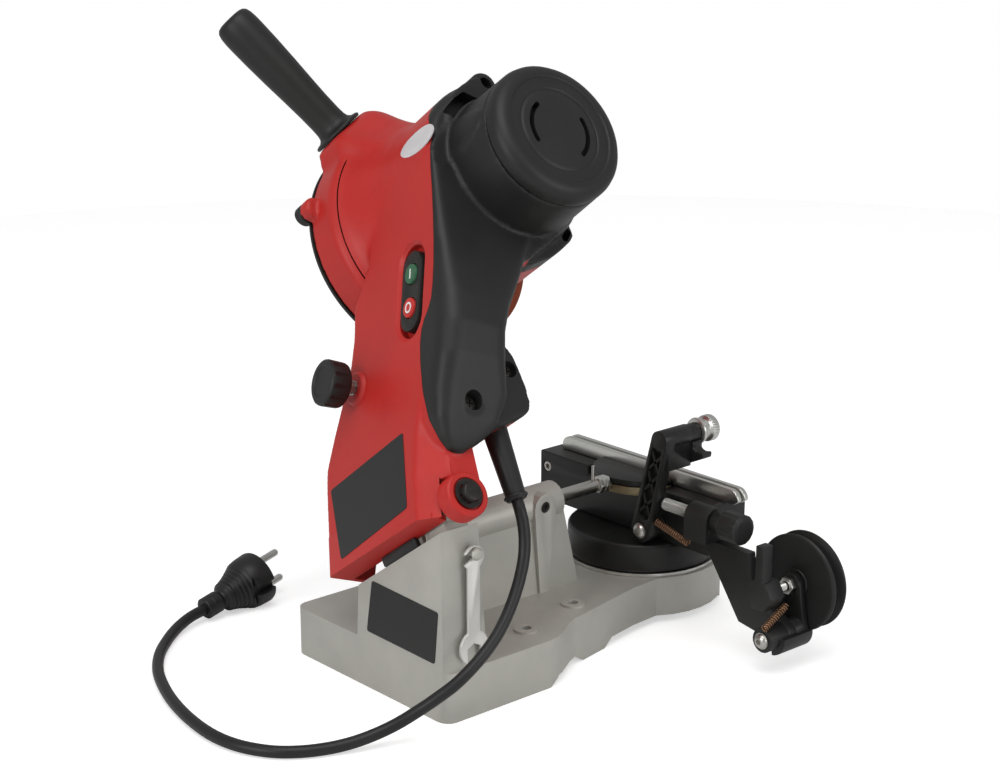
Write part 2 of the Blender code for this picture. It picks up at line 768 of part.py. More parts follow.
def make_lever():
    foot, head = Vector(lever_foot), Vector(lever_head)
    outline = strap_outline(foot, lever_foot_radius, head, lever_head_radius, 8)
    lever = prism("stop_lever", "Y", outline, lever_front, lever_rear, vise_frame, "black_plastic")
    inner = strap_outline(foot.lerp(head, 0.2), lever_foot_radius - 1.6 * lever_rib, head.lerp(foot, 0.12),
                          lever_head_radius - 1.2 * lever_rib, 4)
    recess = prism("lever_recess", "Y", inner, lever_rear - lever_rib_depth, lever_rear + overrun, vise_frame)
    boss = rod("lever_top_boss", "Y", head, lever_boss_end, lever_rear, lever_head_radius, vise_frame)
    gusset = block("lever_gusset", (head.x - gusset_thickness, lever_boss_end, head.y - gusset_drop),
                   (head.x, (lever_front + lever_rear) / 2, head.y), vise_frame)
    hole = rod("lever_hole", "Y", foot, lever_front - overrun, lever_rear + overrun, pivot_radius + gap,
               vise_frame, steps=small_steps)
    stud_hole = rod("stud_hole", "Y", head, lever_boss_end - overrun, lever_front, stud_radius + gap,
                    vise_frame, steps=small_steps)
    cut(lever, recess)
    fuse(lever, boss, gusset)
    cut(lever, hole, stud_hole)
    profile = ((block_rear - pivot_depth, 0), (block_rear - pivot_depth, pivot_radius),
               (lever_rear + gap, pivot_radius), (lever_rear + gap, pivot_head_radius),
               (lever_rear + gap + pivot_head_length / 2, pivot_head_radius),
               (lever_rear + gap + pivot_head_length, pivot_head_radius / 2),
               (lever_rear + gap + pivot_head_length, 0))
    turned("stop_pivot_screw", "Y", foot, profile, vise_frame, "steel", steps=small_steps)
    stop = lever_boss_end - gap
    start = stop - pawl_thickness
    tip = head + Vector((-pawl_reach * pawl_tip_share, -pawl_reach))
    outline = strap_outline(head, pawl_hub_radius, tip, pawl_hub_radius * pawl_tip_share, 7)
    pawl = prism("stop_pawl", "Y", outline, start, stop, vise_frame, "black_plastic")
    pawl_hole = rod("pawl_hole", "Y", head, start - overrun, stop + overrun, stud_radius + gap, vise_frame,
                    steps=small_steps)
    cut(pawl, pawl_hole)
    near = start - gap
    far = near - thumb_length
    profile = ((lever_front - stud_radius, 0), (lever_front - stud_radius, stud_radius), (near, stud_radius),
               (near, thumb_radius * 0.85), (near - thumb_length / 8, thumb_radius * 0.85),
               (near - thumb_length / 5, thumb_waist), (near - thumb_length / 2, thumb_waist),
               (far + thumb_length / 8, thumb_radius), (far, thumb_radius), (far, 0))
    turned("thumb_nut", "Y", head, profile, vise_frame, "zinc", coarse_steps)
    depth = lever_rear - stop_spring_radius - stop_spring_wire
    share = spring_end_drop / (head.y - foot.y)
    near_end = foot.lerp(head, share)
    start = (near_end.x - lever_foot_radius - stop_spring_radius / 2, depth, near_end.y)
    stop = (end_block_right - stop_spring_wire * 4, depth, end_block_foot - stop_spring_radius * 2)
    coil("stop_spring", start, stop, stop_spring_radius, stop_spring_wire, stop_spring_turns,
         stop_spring_end_run, vise_frame, "spring_steel")


def make_roller_arm():
    pivot = Vector(roller_pivot)
    ring_radius = roller_boss_radius
    outline = [(arm_top_right, end_block_foot - gap), (arm_low_right[0], arm_low_right[1])]
    outline += arc(pivot, ring_radius, 260, 100, 7)
    outline += [(arm_top_left - pivot_radius, arm_top_left_height - arm_slope), (arm_top_left, end_block_foot - gap)]
    arm = prism("roller_arm", "Y", outline, arm_front, arm_front + arm_thickness, vise_frame, "black_plastic")
    hole = rod("roller_pivot_hole", "Y", pivot, arm_front - overrun, arm_front + arm_thickness + overrun,
               pivot_radius + gap, vise_frame, steps=small_steps)
    cut(arm, hole)
    rear_start = arm_front + arm_thickness + gap
    front_stop = arm_front - gap
    front = roller_plate_front
    lever = rod("roller_lever", "Y", pivot, rear_start, roller_boss_rear, roller_boss_radius, vise_frame,
                "black_plastic")
    front_boss = rod("roller_front_boss", "Y", pivot, front, front_stop, roller_boss_radius, vise_frame)
    inner = ring_radius + 2 * gap
    outer = inner + roller_web_thickness
    wedge = [(pivot.x + gap, pivot.y + 2 * gap)] + arc(pivot, outer, 173, 263, 7)
    bridge = prism("roller_bridge", "Y", wedge, front + gap, roller_boss_rear - roller_boss_radius, vise_frame)
    arm_room = rod("arm_room", "Y", pivot, front_stop, rear_start, inner, vise_frame)
    axis = Vector(roller_axis)
    plate_outline = strap_outline(pivot, roller_boss_radius - gap, axis, roller_hub_radius * 1.2, 8)
    plate = prism("roller_plate", "Y", plate_outline, front + 2 * gap, front + roller_plate_thickness, vise_frame)
    cut(bridge, arm_room)
    fuse(lever, front_boss, bridge, plate)
    pivot_hole = rod("lever_pivot_hole", "Y", pivot, front - overrun, roller_boss_rear + overrun,
                     pivot_radius + gap, vise_frame, steps=small_steps)
    axle_hole = rod("axle_hole", "Y", axis, front - overrun, front + 2 * roller_plate_thickness,
                    roller_bolt_radius + gap, vise_frame, steps=small_steps)
    cut(lever, pivot_hole, axle_hole)
    head = roller_boss_rear + gap
    profile = ((front + gap, 0), (front + gap, pivot_radius), (head, pivot_radius),
               (head, pivot_head_radius), (head + pivot_head_length / 2, pivot_head_radius),
               (head + pivot_head_length, pivot_head_radius / 2), (head + pivot_head_length, 0))
    turned("roller_pivot_screw", "Y", pivot, profile, vise_frame, "steel", steps=small_steps)


arm_slope = 0.012


def make_roller():
    axis = Vector(roller_axis)
    clear = roller_bolt_radius + gap
    deep = roller_radius - roller_groove
    half = roller_half
    lip = half / 4
    hub = half + gap
    profile = ((-half, clear), (-half, roller_radius - lip), (-half + lip, roller_radius), (-lip, deep),
               (lip, deep), (half - lip, roller_radius), (half, roller_radius - lip), (half, clear))
    turned("chain_roller", "Y", axis, profile, vise_frame, "black_plastic", fine_steps, closed=True)
    plate_rear = roller_plate_front + roller_plate_thickness
    end = wing_start + wing_length / 2
    profile = ((roller_bolt_front, 0), (roller_bolt_front, pivot_head_radius),
               (-hub, pivot_head_radius), (-hub, roller_bolt_radius), (end, roller_bolt_radius), (end, 0))
    turned("roller_bolt", "Y", axis, profile, vise_frame, "zinc", steps=small_steps)
    nut_start = plate_rear + gap
    nut = prism("roller_nut", "Y", hexagon(axis, roller_nut_across_flats), nut_start,
                nut_start + roller_nut_length, vise_frame, "zinc")
    nut_bore = rod("roller_nut_bore", "Y", axis, nut_start - overrun, nut_start + roller_nut_length + overrun,
                   clear, vise_frame, steps=small_steps)
    cut(nut, nut_bore)
    stop = wing_start + wing_length
    knob = prism("wing_knob", "Y", hexagon(axis, wing_radius * math.sqrt(3)), wing_start, stop, vise_frame,
                 "black_plastic")
    tab = block("wing_tab", (axis.x - wing_tab_half, wing_start + wing_length / 3, axis.y),
                (axis.x + wing_tab_half, stop, axis.y + wing_tab_top), vise_frame)
    knob_bore = rod("wing_bore", "Y", axis, wing_start - overrun, end + gap, clear, vise_frame, steps=small_steps)
    fuse(knob, tab)
    cut(knob, knob_bore)
    coil("roller_spring", roller_spring_start, roller_spring_stop, roller_spring_radius, roller_spring_wire,
         roller_spring_turns, roller_spring_end_run, vise_frame, "spring_steel")


# Grinding head, in the head frame: X along the hinge toward the motor, Y up the head, Z out of the label face
shell_left = -0.03
shell_side = 0.0895
shell_side_high = 0.108
shell_wall = 0.0035
shell_chamfer = 0.016
head_rear = 0.021
lip_thickness = 0.0105
lip_drop = 0.011
lip_rise = 0.013
foot_front = 0.0053
foot_thickness = 0.003
motor_rise = 0.215
motor_setback = 0.061
column_width = 0.1195
column_step = 0.021
ear_radius = 0.0155
ear_wall = 0.004
ear_outer = 0.0965
side_wall_top_share = 0.2
guard_radius = 0.079
guard_side = -0.0027
guard_depth = 0.031
guard_wall = 0.0032
guard_open_start_deg = -158.0
guard_open_stop_deg = -92.0
guard_cover_thickness = 0.007
wheel_radius = 0.0725
wheel_thickness = 0.0032
chain_height = 0.106
shaft_radius = 0.0055
neck_radius = 0.061
motor_axis = (motor_rise, head_rear - motor_setback)
handle_foot_radius = 0.0905
handle_foot_deg = 42.0
handle_deg = 50.0
handle_side = 0.005
handle_length = 0.1
handle_flange_radius = 0.018
handle_flange = 0.002
handle_neck_radius = 0.0115
handle_grip_radius = 0.0135
handle_boss_radius = 0.0115
handle_boss_sink = 0.03
depth_side = 0.0135
depth_rise = 0.096
depth_boss_radius = 0.009
depth_boss_stand = 0.0022
depth_screw_radius = 0.0045
depth_screw_tip = -0.048
depth_knob_start = 0.0275
depth_knob_length = 0.016
depth_knob_radius = 0.0145
# Column sections: height share of motor_rise, left inset share of column_width, and depth shares of
# motor_setback for the part over the spine and the part beside it
column_shares = (
    (0.056, 0.0, 0.107, 0.377), (0.184, 0.0, 0.369, 0.508), (0.233, 0.0, 0.475, 0.885),
    (0.265, 0.012, 0.549, 1.025), (0.288, 0.029, 0.598, 1.115), (0.353, 0.071, 0.68, 1.03),
    (0.460, 0.146, 0.88, 0.902), (0.512, 0.178, 0.93, 0.949), (0.623, 0.247, 1.033, 1.05), (0.767, 0.251, 1.115, 1.13))
step_low_share = 0.512
step_high_share = 0.623
fold_low_share = 0.13
fold_high_share = 0.288


# Share of the way between two heights, kept from nought to one
def ramp(share, low, high):
    return min(1, max(0, (share - low) / (high - low)))


def column_ring(shares, margin, open_side):
    height_share, left_share, spine_share, side_share = shares
    height = height_share * motor_rise
    right = shell_side + (shell_side_high - shell_side) * ramp(height_share, step_low_share, step_high_share)
    left = shell_left + left_share * column_width + margin
    chamfer = shell_chamfer + (shell_wall - shell_chamfer) * ramp(height_share, fold_low_share, fold_high_share)
    rear = head_rear - margin
    spine_front = head_rear - spine_share * motor_setback + margin
    side_front = head_rear - side_share * motor_setback + margin
    step = column_step + margin
    near, far = right - chamfer, head_rear - chamfer
    if open_side:
        near -= (math.sqrt(2) - 1) * margin
        far -= overrun + math.sqrt(2) * margin
        right += overrun
    return [Vector((left, height, rear)), Vector((near, height, rear)),
            Vector((right, height, far)), Vector((right, height, side_front)),
            Vector((step, height, side_front)), Vector((step, height, spine_front)),
            Vector((left, height, spine_front))]


# A wedge of the space round the motor axis, between two angles, for cutting the guard's opening
def guard_wedge(name, start, stop, inner):
    steps = 7
    outline = arc(motor_axis, 2 * guard_radius, guard_open_start_deg, guard_open_stop_deg, steps)
    outline += arc(motor_axis, inner, guard_open_stop_deg, guard_open_start_deg, steps)
    return prism(name, "X", outline, start, stop, head_frame)


def make_shell():
    column = loft("head_shell", [column_ring(shares, 0, False) for shares in column_shares], head_frame,
                  "red_plastic")
    lip_outline = ((shell_left, head_rear - lip_thickness),
                   (shell_side - shell_chamfer + lip_thickness, head_rear - lip_thickness),
                   (shell_side - shell_chamfer, head_rear), (shell_left, head_rear))
    lip_rings = [[Vector((x, height, z)) for x, z in lip_outline] for height in (-lip_drop, lip_rise)]
    lip = loft("shell_lip", lip_rings, head_frame)
    foot = block("shell_foot", (shell_left + shell_wall / 2, -lip_drop, foot_front),
                 (shell_side - shell_chamfer, -lip_drop + foot_thickness, head_rear - lip_thickness / 2), head_frame)
    top = side_wall_top_share * motor_rise
    front = -ear_radius * 3 / 4
    wall_outline = ((-lip_drop, head_rear - gap), (-lip_drop, front * 3 / 4), (lip_rise / 2, front),
                    (top, front / 2), (top, head_rear - gap))
    left_wall = prism("shell_left_wall", "X", wall_outline, shell_left, shell_left + shell_wall, head_frame)
    right_outline = ((0, 0), (0, -ear_radius), (top, -ear_radius / 2), (top, head_rear - shell_chamfer),
                     (0, head_rear - shell_chamfer))
    right_wall = prism("shell_right_wall", "X", right_outline, outer_lug_end + gap, shell_side, head_frame)
    ear = rod("shell_ear", "X", (0, 0), outer_lug_end + gap, ear_outer, ear_radius, head_frame)
    neck = rod("shell_neck", "X", motor_axis, guard_side, shell_side_high, neck_radius, head_frame, None,
               steps=fine_steps)
    drum = rod("shell_drum", "X", motor_axis, guard_side, guard_side + guard_depth, guard_radius, head_frame,
               None, fine_steps)
    fuse(column, lip, foot, left_wall, right_wall, ear, neck, drum)
    boss = handle_turned("handle_boss", ((-handle_boss_sink, 0), (-handle_boss_sink, handle_boss_radius),
                                         (-gap, handle_boss_radius), (-gap, 0)), None)
    room = rod("guard_cover_room", "X", motor_axis, guard_side - 2 * handle_boss_radius, guard_side,
               2 * guard_radius, head_frame)
    cut(boss, room)
    depth_boss = rod("depth_boss", "Z", (depth_side, depth_rise), 0, head_rear + depth_boss_stand,
                     depth_boss_radius, head_frame)
    fuse(column, boss)
    drum_hollow = rod("drum_hollow", "X", motor_axis, guard_side - overrun,
                      guard_side + guard_depth - guard_wall, guard_radius - guard_wall, head_frame, None,
                      steps=fine_steps)
    motor_hollow = rod("motor_hollow", "X", motor_axis, guard_side + guard_depth,
                       shell_side_high + overrun, neck_radius - guard_wall, head_frame, None, fine_steps)
    column_hollow = loft("column_hollow", [column_ring(shares, shell_wall, True) for shares in column_shares[1:-1]],
                         head_frame)
    cut(column, column_hollow, drum_hollow, motor_hollow)
    fuse(column, depth_boss)
    opening = guard_wedge("guard_opening", guard_side - overrun, guard_side + guard_depth + overrun,
                          neck_radius + gap)
    shaft_hole = rod("shaft_hole", "X", motor_axis, guard_side, guard_side + guard_depth + overrun,
                     flange_radius + gap, head_frame)
    hinge_hole = rod("shell_pin_hole", "X", (0, 0), shell_left - overrun, ear_outer + overrun, pin_radius + gap,
                     head_frame)
    screw_hole = rod("depth_hole", "Z", (depth_side, depth_rise), depth_screw_tip - overrun,
                     head_rear + 2 * depth_boss_stand, depth_screw_radius + gap, head_frame)
    relief_cut = strain_cutter("shell_relief_hole")
    switch_hole = prism("switch_hole", "Z", switch_outline(switch_margin), head_rear - switch_depth,
                        head_rear + overrun, head_frame)
    cut(column, opening, shaft_hole, hinge_hole, screw_hole, relief_cut, switch_hole)
    return column


def handle_point(radius):
    angle = math.radians(handle_foot_deg)
    return Vector((handle_side, motor_axis[0] + radius * math.cos(angle), motor_axis[1] + radius * math.sin(angle)))


# Turns a profile round the handle's line, starting at the handle's foot
def handle_turned(name, profile, look, steps=coarse_steps):
    made = turned(name, "Z", (0, 0), profile, head_frame, look, steps)
    angle = math.radians(handle_deg)
    along = Vector((0, math.cos(angle), math.sin(angle)))
    made.matrix_local = Matrix.Translation(handle_point(handle_foot_radius)) @ along.to_track_quat(
        "Z", "Y").to_matrix().to_4x4()
    return made


def make_handle():
    end = handle_length
    profile = ((gap, 0), (gap, handle_flange_radius), (handle_flange, handle_flange_radius),
               (handle_flange * 2, handle_neck_radius), (end / 4, handle_neck_radius),
               (end * 2 / 3, handle_grip_radius), (end - handle_flange, handle_grip_radius * 0.96),
               (end, handle_grip_radius * 0.8), (end, 0))
    handle_turned("handle", profile, "black_plastic")


barrel_start = 0.0583
barrel_radius = 0.0465
barrel_draft = 0.0012
barrel_end_radius = barrel_radius - barrel_draft
barrel_end = 0.15
cap_end = 0.165
cap_draw_in = 0.0053
cap_end_radius = barrel_end_radius - cap_draw_in
cap_round = 0.004
cover_wall = 0.003
cover_side_gap = 0.0003
flange_face = 0.0955
flange_radius = 0.012
# Cover neck sections: height share of motor_rise, thickness share of cover_bulge, rear and front depth
# shares of motor_setback
cover_bulge = 0.0305
cover_shares = ((0.13, 0.16, 0.18, 0.4), (0.209, 0.36, 0.03, 0.74), (0.288, 0.54, 0.0, 0.83),
                (0.372, 0.84, 0.0, 0.74), (0.46, 0.98, 0.0, 0.69), (0.512, 1.0, 0.0, 0.71),
                (0.623, 0.84, 0.0, 0.84), (0.767, 0.6, 0.0, 0.97))
# Flange outline: height shares of motor_rise and depth shares of motor_setback
flange_shares = ((0.19, 0.36), (0.2, 0.67), (0.233, 0.885), (0.288, 1.115), (0.46, 0.885), (0.512, 0.93),
                 (0.512, 0.4))


def cover_ring(shares, margin):
    height_share, bulge_share, rear_share, front_share = shares
    blend = ramp(height_share, step_low_share, step_high_share)
    inner = shell_side + (shell_side_high - shell_side) * blend + cover_side_gap
    if margin:
        inner -= overrun
    outer = shell_side + cover_side_gap + bulge_share * cover_bulge - margin
    outer = max(outer, inner + cover_wall)
    height = height_share * motor_rise
    rear = head_rear - rear_share * motor_setback - margin
    front = head_rear - front_share * motor_setback + margin
    edge = (outer - inner) / 3
    return [Vector((inner, height, rear)), Vector((outer - edge, height, rear)),
            Vector((outer, height, rear - edge)), Vector((outer, height, front + edge)),
            Vector((outer - edge, height, front)), Vector((inner, height, front))]


def make_cover():
    start = shell_side_high + cover_side_gap
    outer = ((start, neck_radius), (start + barrel_flare, neck_radius - barrel_flare / 2),
             (start + barrel_flare * 2, barrel_radius), (barrel_end, barrel_end_radius))
    inner = [(along, radius - cover_wall) for along, radius in reversed(outer)]
    cover = turned("motor_cover", "X", motor_axis, outer + tuple(inner), head_frame, "black_plastic",
                   fine_steps, closed=True)
    neck = loft("cover_neck", [cover_ring(shares, 0) for shares in cover_shares], head_frame)
    outline = [(rise * motor_rise, head_rear - depth * motor_setback) for rise, depth in flange_shares]
    flange = prism("cover_flange", "X", outline, shell_side + cover_side_gap, flange_face, head_frame)
    bore = rod("cover_bore", "X", motor_axis, shell_side, barrel_end + overrun,
               barrel_end_radius - cover_wall, head_frame, None, fine_steps)
    wide_bore = rod("cover_wide_bore", "X", motor_axis, shell_side, start + barrel_flare / 2,
                    neck_radius - cover_wall - barrel_flare / 2, head_frame, None, fine_steps)
    shell_room = rod("shell_room", "X", motor_axis, shell_side - overrun, shell_side_high + cover_side_gap,
                     neck_radius + gap, head_frame, None, fine_steps)
    hollow = loft("cover_hollow", [cover_ring(shares, cover_wall) for shares in cover_shares[2:-1]], head_frame)
    fuse(cover, neck, flange)
    cut(cover, hollow, bore, wide_bore, shell_room)
    for name, rise, depth, out in cover_screws():
        hole = rod(name + "_hole", "X", (rise, depth), out - cover_screw_length, out + cover_bulge,
                   cover_screw_radius + gap, head_frame, None, steps=small_steps)
        cut(cover, hole)
        screw = rod(name, "X", (rise, depth), out - cover_screw_length + gap, out, cover_screw_radius,
                    head_frame, "dark_steel", steps=small_steps)
        screw.name = name
    end_start = barrel_end + gap
    profile = ((end_start, 0), (end_start, barrel_end_radius), (cap_end - cap_round, cap_end_radius + cap_round / 4),
               (cap_end - cap_round / 4, cap_end_radius - cap_round / 2), (cap_end, cap_end_radius - cap_round * 2),
               (cap_end - cap_dish, cap_end_radius - cap_round * 2.5), (cap_end - cap_dish, 0))
    cap = turned("motor_end_cap", "X", motor_axis, profile, head_frame, "black_plastic", fine_steps)
    cup = rod("cap_hollow", "X", motor_axis, barrel_end - overrun, cap_end - cap_dish - cover_wall,
              cap_end_radius - cover_wall / 2, head_frame, None, fine_steps)
    cut(cap, cup)


barrel_flare = 0.0035
cap_dish = 0.0012
cover_screw_radius = 0.0035
cover_screw_length = 0.0052
upper_screw_share = (0.40, 0.9)
lower_screw_share = (0.272, 0.46)


def cover_screws():
    for name, shares, out in (("cover_screw_front", upper_screw_share, flange_face - gap),
                              ("cover_screw_low", lower_screw_share, flange_face + lower_screw_rise)):
        yield name, shares[0] * motor_rise, head_rear - shares[1] * motor_setback, out


lower_screw_rise = 0.0028
relief_side = 0.08
relief_top = (0.0585, -0.0305)
relief_end = (0.0089, -0.0446)
relief_top_radius = 0.0078
relief_end_radius = 0.0062
relief_collar_radius = 0.0072
relief_collar = 0.003
relief_sink = 0.012
relief_hole_radius = 0.005


# A turned piece along the strain relief's line, from its top toward its end
def relief_turned(name, profile, look, steps=coarse_steps):
    made = turned(name, "Z", (0, 0), profile, head_frame, look, steps)
    top = Vector((relief_side, *relief_top))
    end = Vector((relief_side, *relief_end))
    made.matrix_local = Matrix.Translation(top) @ (end - top).to_track_quat("Z", "Y").to_matrix().to_4x4()
    return made


def strain_cutter(name):
    radius = relief_top_radius + gap
    return relief_turned(name, ((-relief_sink - gap, 0), (-relief_sink - gap, radius),
                                (relief_sink * 2, radius), (relief_sink * 2, 0)), None)


def make_strain_relief():
    length = (Vector(relief_end) - Vector(relief_top)).length
    profile = ((-relief_sink, 0), (-relief_sink, relief_top_radius), (0, relief_top_radius),
               (length - relief_collar, relief_end_radius), (length - relief_collar, relief_collar_radius),
               (length, relief_collar_radius), (length, 0))
    relief_turned("strain_relief", profile, "rubber")


def make_guard_cover():
    start = guard_side - gap - guard_cover_thickness
    stop = guard_side - gap
    cover = rod("guard_cover", "X", motor_axis, start, stop, guard_radius, head_frame, "black_plastic", fine_steps)
    hollow = rod("guard_cover_hollow", "X", motor_axis, start + cover_wall, stop + overrun,
                 guard_radius - guard_wall, head_frame, None, fine_steps)
    opening = guard_wedge("guard_cover_opening", start - overrun, stop + overrun, wheel_radius / 2)
    cut(cover, hollow, opening)


# Motor, shaft and wheel
stator_radius = 0.036
stator_length = 0.05
stator_start = 0.052
armature_radius = 0.02
bearing_radius = 0.011
bearing_length = 0.007
wheel_hub_radius = 0.011
wheel_flange_radius = 0.018
wheel_flange = 0.003
wheel_nut_across_flats = 0.017
wheel_nut_length = 0.006
wheel_side = (chain_height - hinge_height) * math.sin(tilt)


def make_motor():
    inner = armature_radius + clear_air
    ring("stator", "X", motor_axis, stator_start, stator_start + stator_length, inner, stator_radius,
         head_frame, "copper_winding")
    wall = guard_side + guard_depth
    bearing_start = wall + gap
    ring("shaft_bearing", "X", motor_axis, bearing_start, bearing_start + bearing_length, shaft_radius + gap,
         bearing_radius + bearing_length / 2, head_frame, "steel")
    thick = wheel_thickness / 2
    back = wheel_side + thick + gap
    nut_end = wheel_side - thick - gap - wheel_nut_length
    profile = ((nut_end, 0), (nut_end, shaft_radius), (back, shaft_radius), (back, wheel_flange_radius),
               (back + wheel_flange, wheel_flange_radius), (back + wheel_flange, shaft_radius),
               (stator_start, shaft_radius), (stator_start, armature_radius),
               (stator_start + stator_length, armature_radius), (stator_start + stator_length, shaft_radius),
               (barrel_end - gap, shaft_radius), (barrel_end - gap, 0))
    turned("armature_shaft", "X", motor_axis, profile, head_frame, "steel")
    ring("grinding_wheel", "X", motor_axis, wheel_side - thick, wheel_side + thick, shaft_radius + gap,
         wheel_radius, head_frame, "abrasive", fine_steps)
    nut = prism("wheel_nut", "X", hexagon(motor_axis, wheel_nut_across_flats),
                wheel_side - thick - gap - wheel_nut_length, wheel_side - thick - gap, head_frame, "steel")
    nut_bore = rod("wheel_nut_bore", "X", motor_axis, nut_end - overrun, wheel_side, shaft_radius + gap, head_frame)
    cut(nut, nut_bore)


clear_air = 0.001

# Switch
switch_centre = (0.081, 0.1315)
switch_length = 0.05
switch_width = 0.021
switch_turn_deg = 12.0
switch_depth = 0.012
switch_margin = 0.0003
button_half = 0.0062
button_stand = 0.0012
button_place = 0.0105


def switch_outline(margin):
    radius = switch_width / 2 + margin
    reach = (switch_length - switch_width) / 2
    turn = math.radians(90.0 - switch_turn_deg)
    along = Vector((math.cos(turn), math.sin(turn)))
    centre = Vector(switch_centre)
    return strap_outline(centre - along * reach, radius, centre + along * reach, radius + gap / 100, 7)


def make_switch():
    turn = math.radians(90.0 - switch_turn_deg)
    along = Vector((math.cos(turn), math.sin(turn)))
    centre = Vector(switch_centre)
    face = head_rear - gap
    body = prism("switch_plate", "Z", switch_outline(0), head_rear - switch_depth + gap, face, head_frame,
                 "black_plastic")
    for name, side, look in (("start_button", 1, "green_button"), ("stop_button", -1, "red_button")):
        spot = centre + along * button_place * side
        well = rod(name + "_well", "Z", spot, face - switch_depth / 2, face + overrun, button_half + gap,
                   head_frame)
        cut(body, well)
        rod(name, "Z", spot, face - switch_depth / 2 + button_travel + gap, face + button_stand, button_half,
            head_frame, look)


button_travel = 0.002


def make_depth_stop():
    centre = (depth_side, depth_rise)
    rod("depth_screw", "Z", centre, depth_screw_tip, depth_knob_start - gap, depth_screw_radius, head_frame,
        "zinc")
    stop = depth_knob_start + depth_knob_length
    edge = depth_knob_radius / 6
    profile = ((depth_knob_start, 0), (depth_knob_start, depth_knob_radius - edge),
               (depth_knob_start + edge, depth_knob_radius), (stop - edge, depth_knob_radius),
               (stop, depth_knob_radius - edge), (stop, 0))
    turned("depth_knob", "Z", centre, profile, head_frame, "black_plastic", steps=small_steps)


def make_cam():
    angle = math.radians(180 - cam_rest_deg)
    rise, out = math.sin(angle), math.cos(angle)
    centre = (rise * math.cos(lean) - out * math.sin(lean), rise * math.sin(lean) + out * math.cos(lean))
    centre = (centre[0] * cam_offset, centre[1] * cam_offset)
    cam = rod("clamp_cam", "X", centre, -cam_half, cam_half, cam_radius, head_frame, "steel")
    bore = rod("cam_bore", "X", (0, 0), -cam_half - overrun, cam_half + overrun, pin_radius + gap, head_frame)
    cut(cam, bore)


cam_half = 0.009

# Mains cord and plug. The route's points are in millimetres and follow the photographed loop: from the strain
# relief down beside the base and round on the bench.
cord_radius = 0.0036
cord_route_mm = (
    (-70.4, 86.3, 125.0), (-73.9, 87.0, 119.8), (-77.0, 87.3, 112.0), (-79.7, 88.6, 102.0), (-82.2, 91.8, 92.0),
    (-85.2, 98.5, 80.0), (-89.0, 108.6, 68.0), (-92.4, 121.3, 56.5), (-94.2, 136.5, 46.2), (-92.6, 151.5, 36.0),
    (-87.0, 162.5, 27.5), (-80.4, 171.0, 20.0), (-74.8, 180.2, 13.8), (-69.8, 191.0, 9.2), (-64.8, 204.0, 6.0),
    (-58.8, 217.0, 4.2), (-51.3, 231.5, 3.9), (-40.0, 244.2, 3.9), (-22.6, 253.4, 3.9), (-2.4, 257.0, 3.9),
    (20.8, 255.6, 3.9), (46.0, 250.8, 3.9), (70.4, 243.2, 3.9), (95.9, 232.0, 3.9), (117.4, 217.5, 3.9),
    (134.4, 200.8, 3.9), (145.5, 186.0, 4.8), (151.5, 172.5, 6.5), (153.5, 160.0, 8.2))
plug_heading_deg = -83.0
plug_pitch_deg = 11.0
plug_tail_radius = 0.0072
plug_tail = 0.013
plug_grip = 0.018
plug_disc = 0.018
plug_radius = 0.018
plug_neck_radius = 0.0085
plug_notch_depth = 0.005
plug_notch_width = 0.0065
pin_spacing = 0.019
plug_pin_radius = 0.0024
plug_pin_length = 0.019


def make_cord():
    points = [exit_point()] + [Vector(point) * millimetre for point in cord_route_mm[1:]]
    length = sum((after - before).length for before, after in zip(points, points[1:]))
    print("cord length, mm:", round(length / millimetre))
    tube("power_cord", points, cord_radius, None, "rubber")
    turn = Matrix.Rotation(math.radians(plug_heading_deg), 3, "Z") @ Matrix.Rotation(
        -math.radians(plug_pitch_deg), 3, "Y")
    plug_frame = empty("plug_frame", points[-1] + turn @ Vector((gap, 0, 0)), turn)
    grip_start, disc_start, face = plug_tail, plug_tail + plug_grip, plug_tail + plug_grip + plug_disc
    edge = plug_radius / 12
    profile = ((0, 0), (0, plug_tail_radius), (plug_tail, plug_tail_radius), (plug_tail + edge, plug_neck_radius),
               (grip_start + plug_grip / 3, plug_neck_radius * 1.15), (disc_start, plug_radius * 0.86),
               (disc_start + plug_disc / 3, plug_radius - edge / 2), (face - edge, plug_radius),
               (face, plug_radius - edge), (face, 0))
    body = turned("plug_body", "X", (0, 0), profile, plug_frame, "rubber")
    for side in (1, -1):
        notch_floor = plug_radius - plug_notch_depth
        low = (disc_start - overrun, min(side * notch_floor, side * 2 * plug_radius), -plug_notch_width / 2)
        high = (face + overrun, max(side * notch_floor, side * 2 * plug_radius), plug_notch_width / 2)
        cut(body, block("plug_notch", low, high, plug_frame))
    for name, side in (("plug_pin_upper", 1), ("plug_pin_lower", -1)):
        centre = (0, side * pin_spacing / 2)
        hole = rod(name + "_hole", "X", centre, face - plug_pin_length / 2 - gap, face + overrun,
                   plug_pin_radius + gap, plug_frame, None, steps=small_steps)
        cut(body, hole)
        profile = ((face - plug_pin_length / 2, 0), (face - plug_pin_length / 2, plug_pin_radius),
                   (face + plug_pin_length - plug_pin_radius, plug_pin_radius),
                   (face + plug_pin_length, plug_pin_radius / 2), (face + plug_pin_length, 0))
        turned(name, "X", centre, profile, plug_frame, "zinc", steps=small_steps)


# Just below the strain relief's end, on its line
def exit_point():
    bpy.context.view_layer.update()
    top = Vector((relief_side, *relief_top))
    end = Vector((relief_side, *relief_end))
    spot = end + (end - top).normalized() * gap
    return head_frame.matrix_world @ spot


millimetre = 0.001

make_base()
make_base_fittings()
make_hinge()
make_bumper()
make_wrench()
make_push_rod()
make_vise()
make_stop()
make_lever()
make_roller_arm()
make_roller()
make_shell()
make_handle()
make_cover()
make_strain_relief()
make_guard_cover()
make_motor()
make_switch()
make_depth_stop()
make_cam()
make_cord()
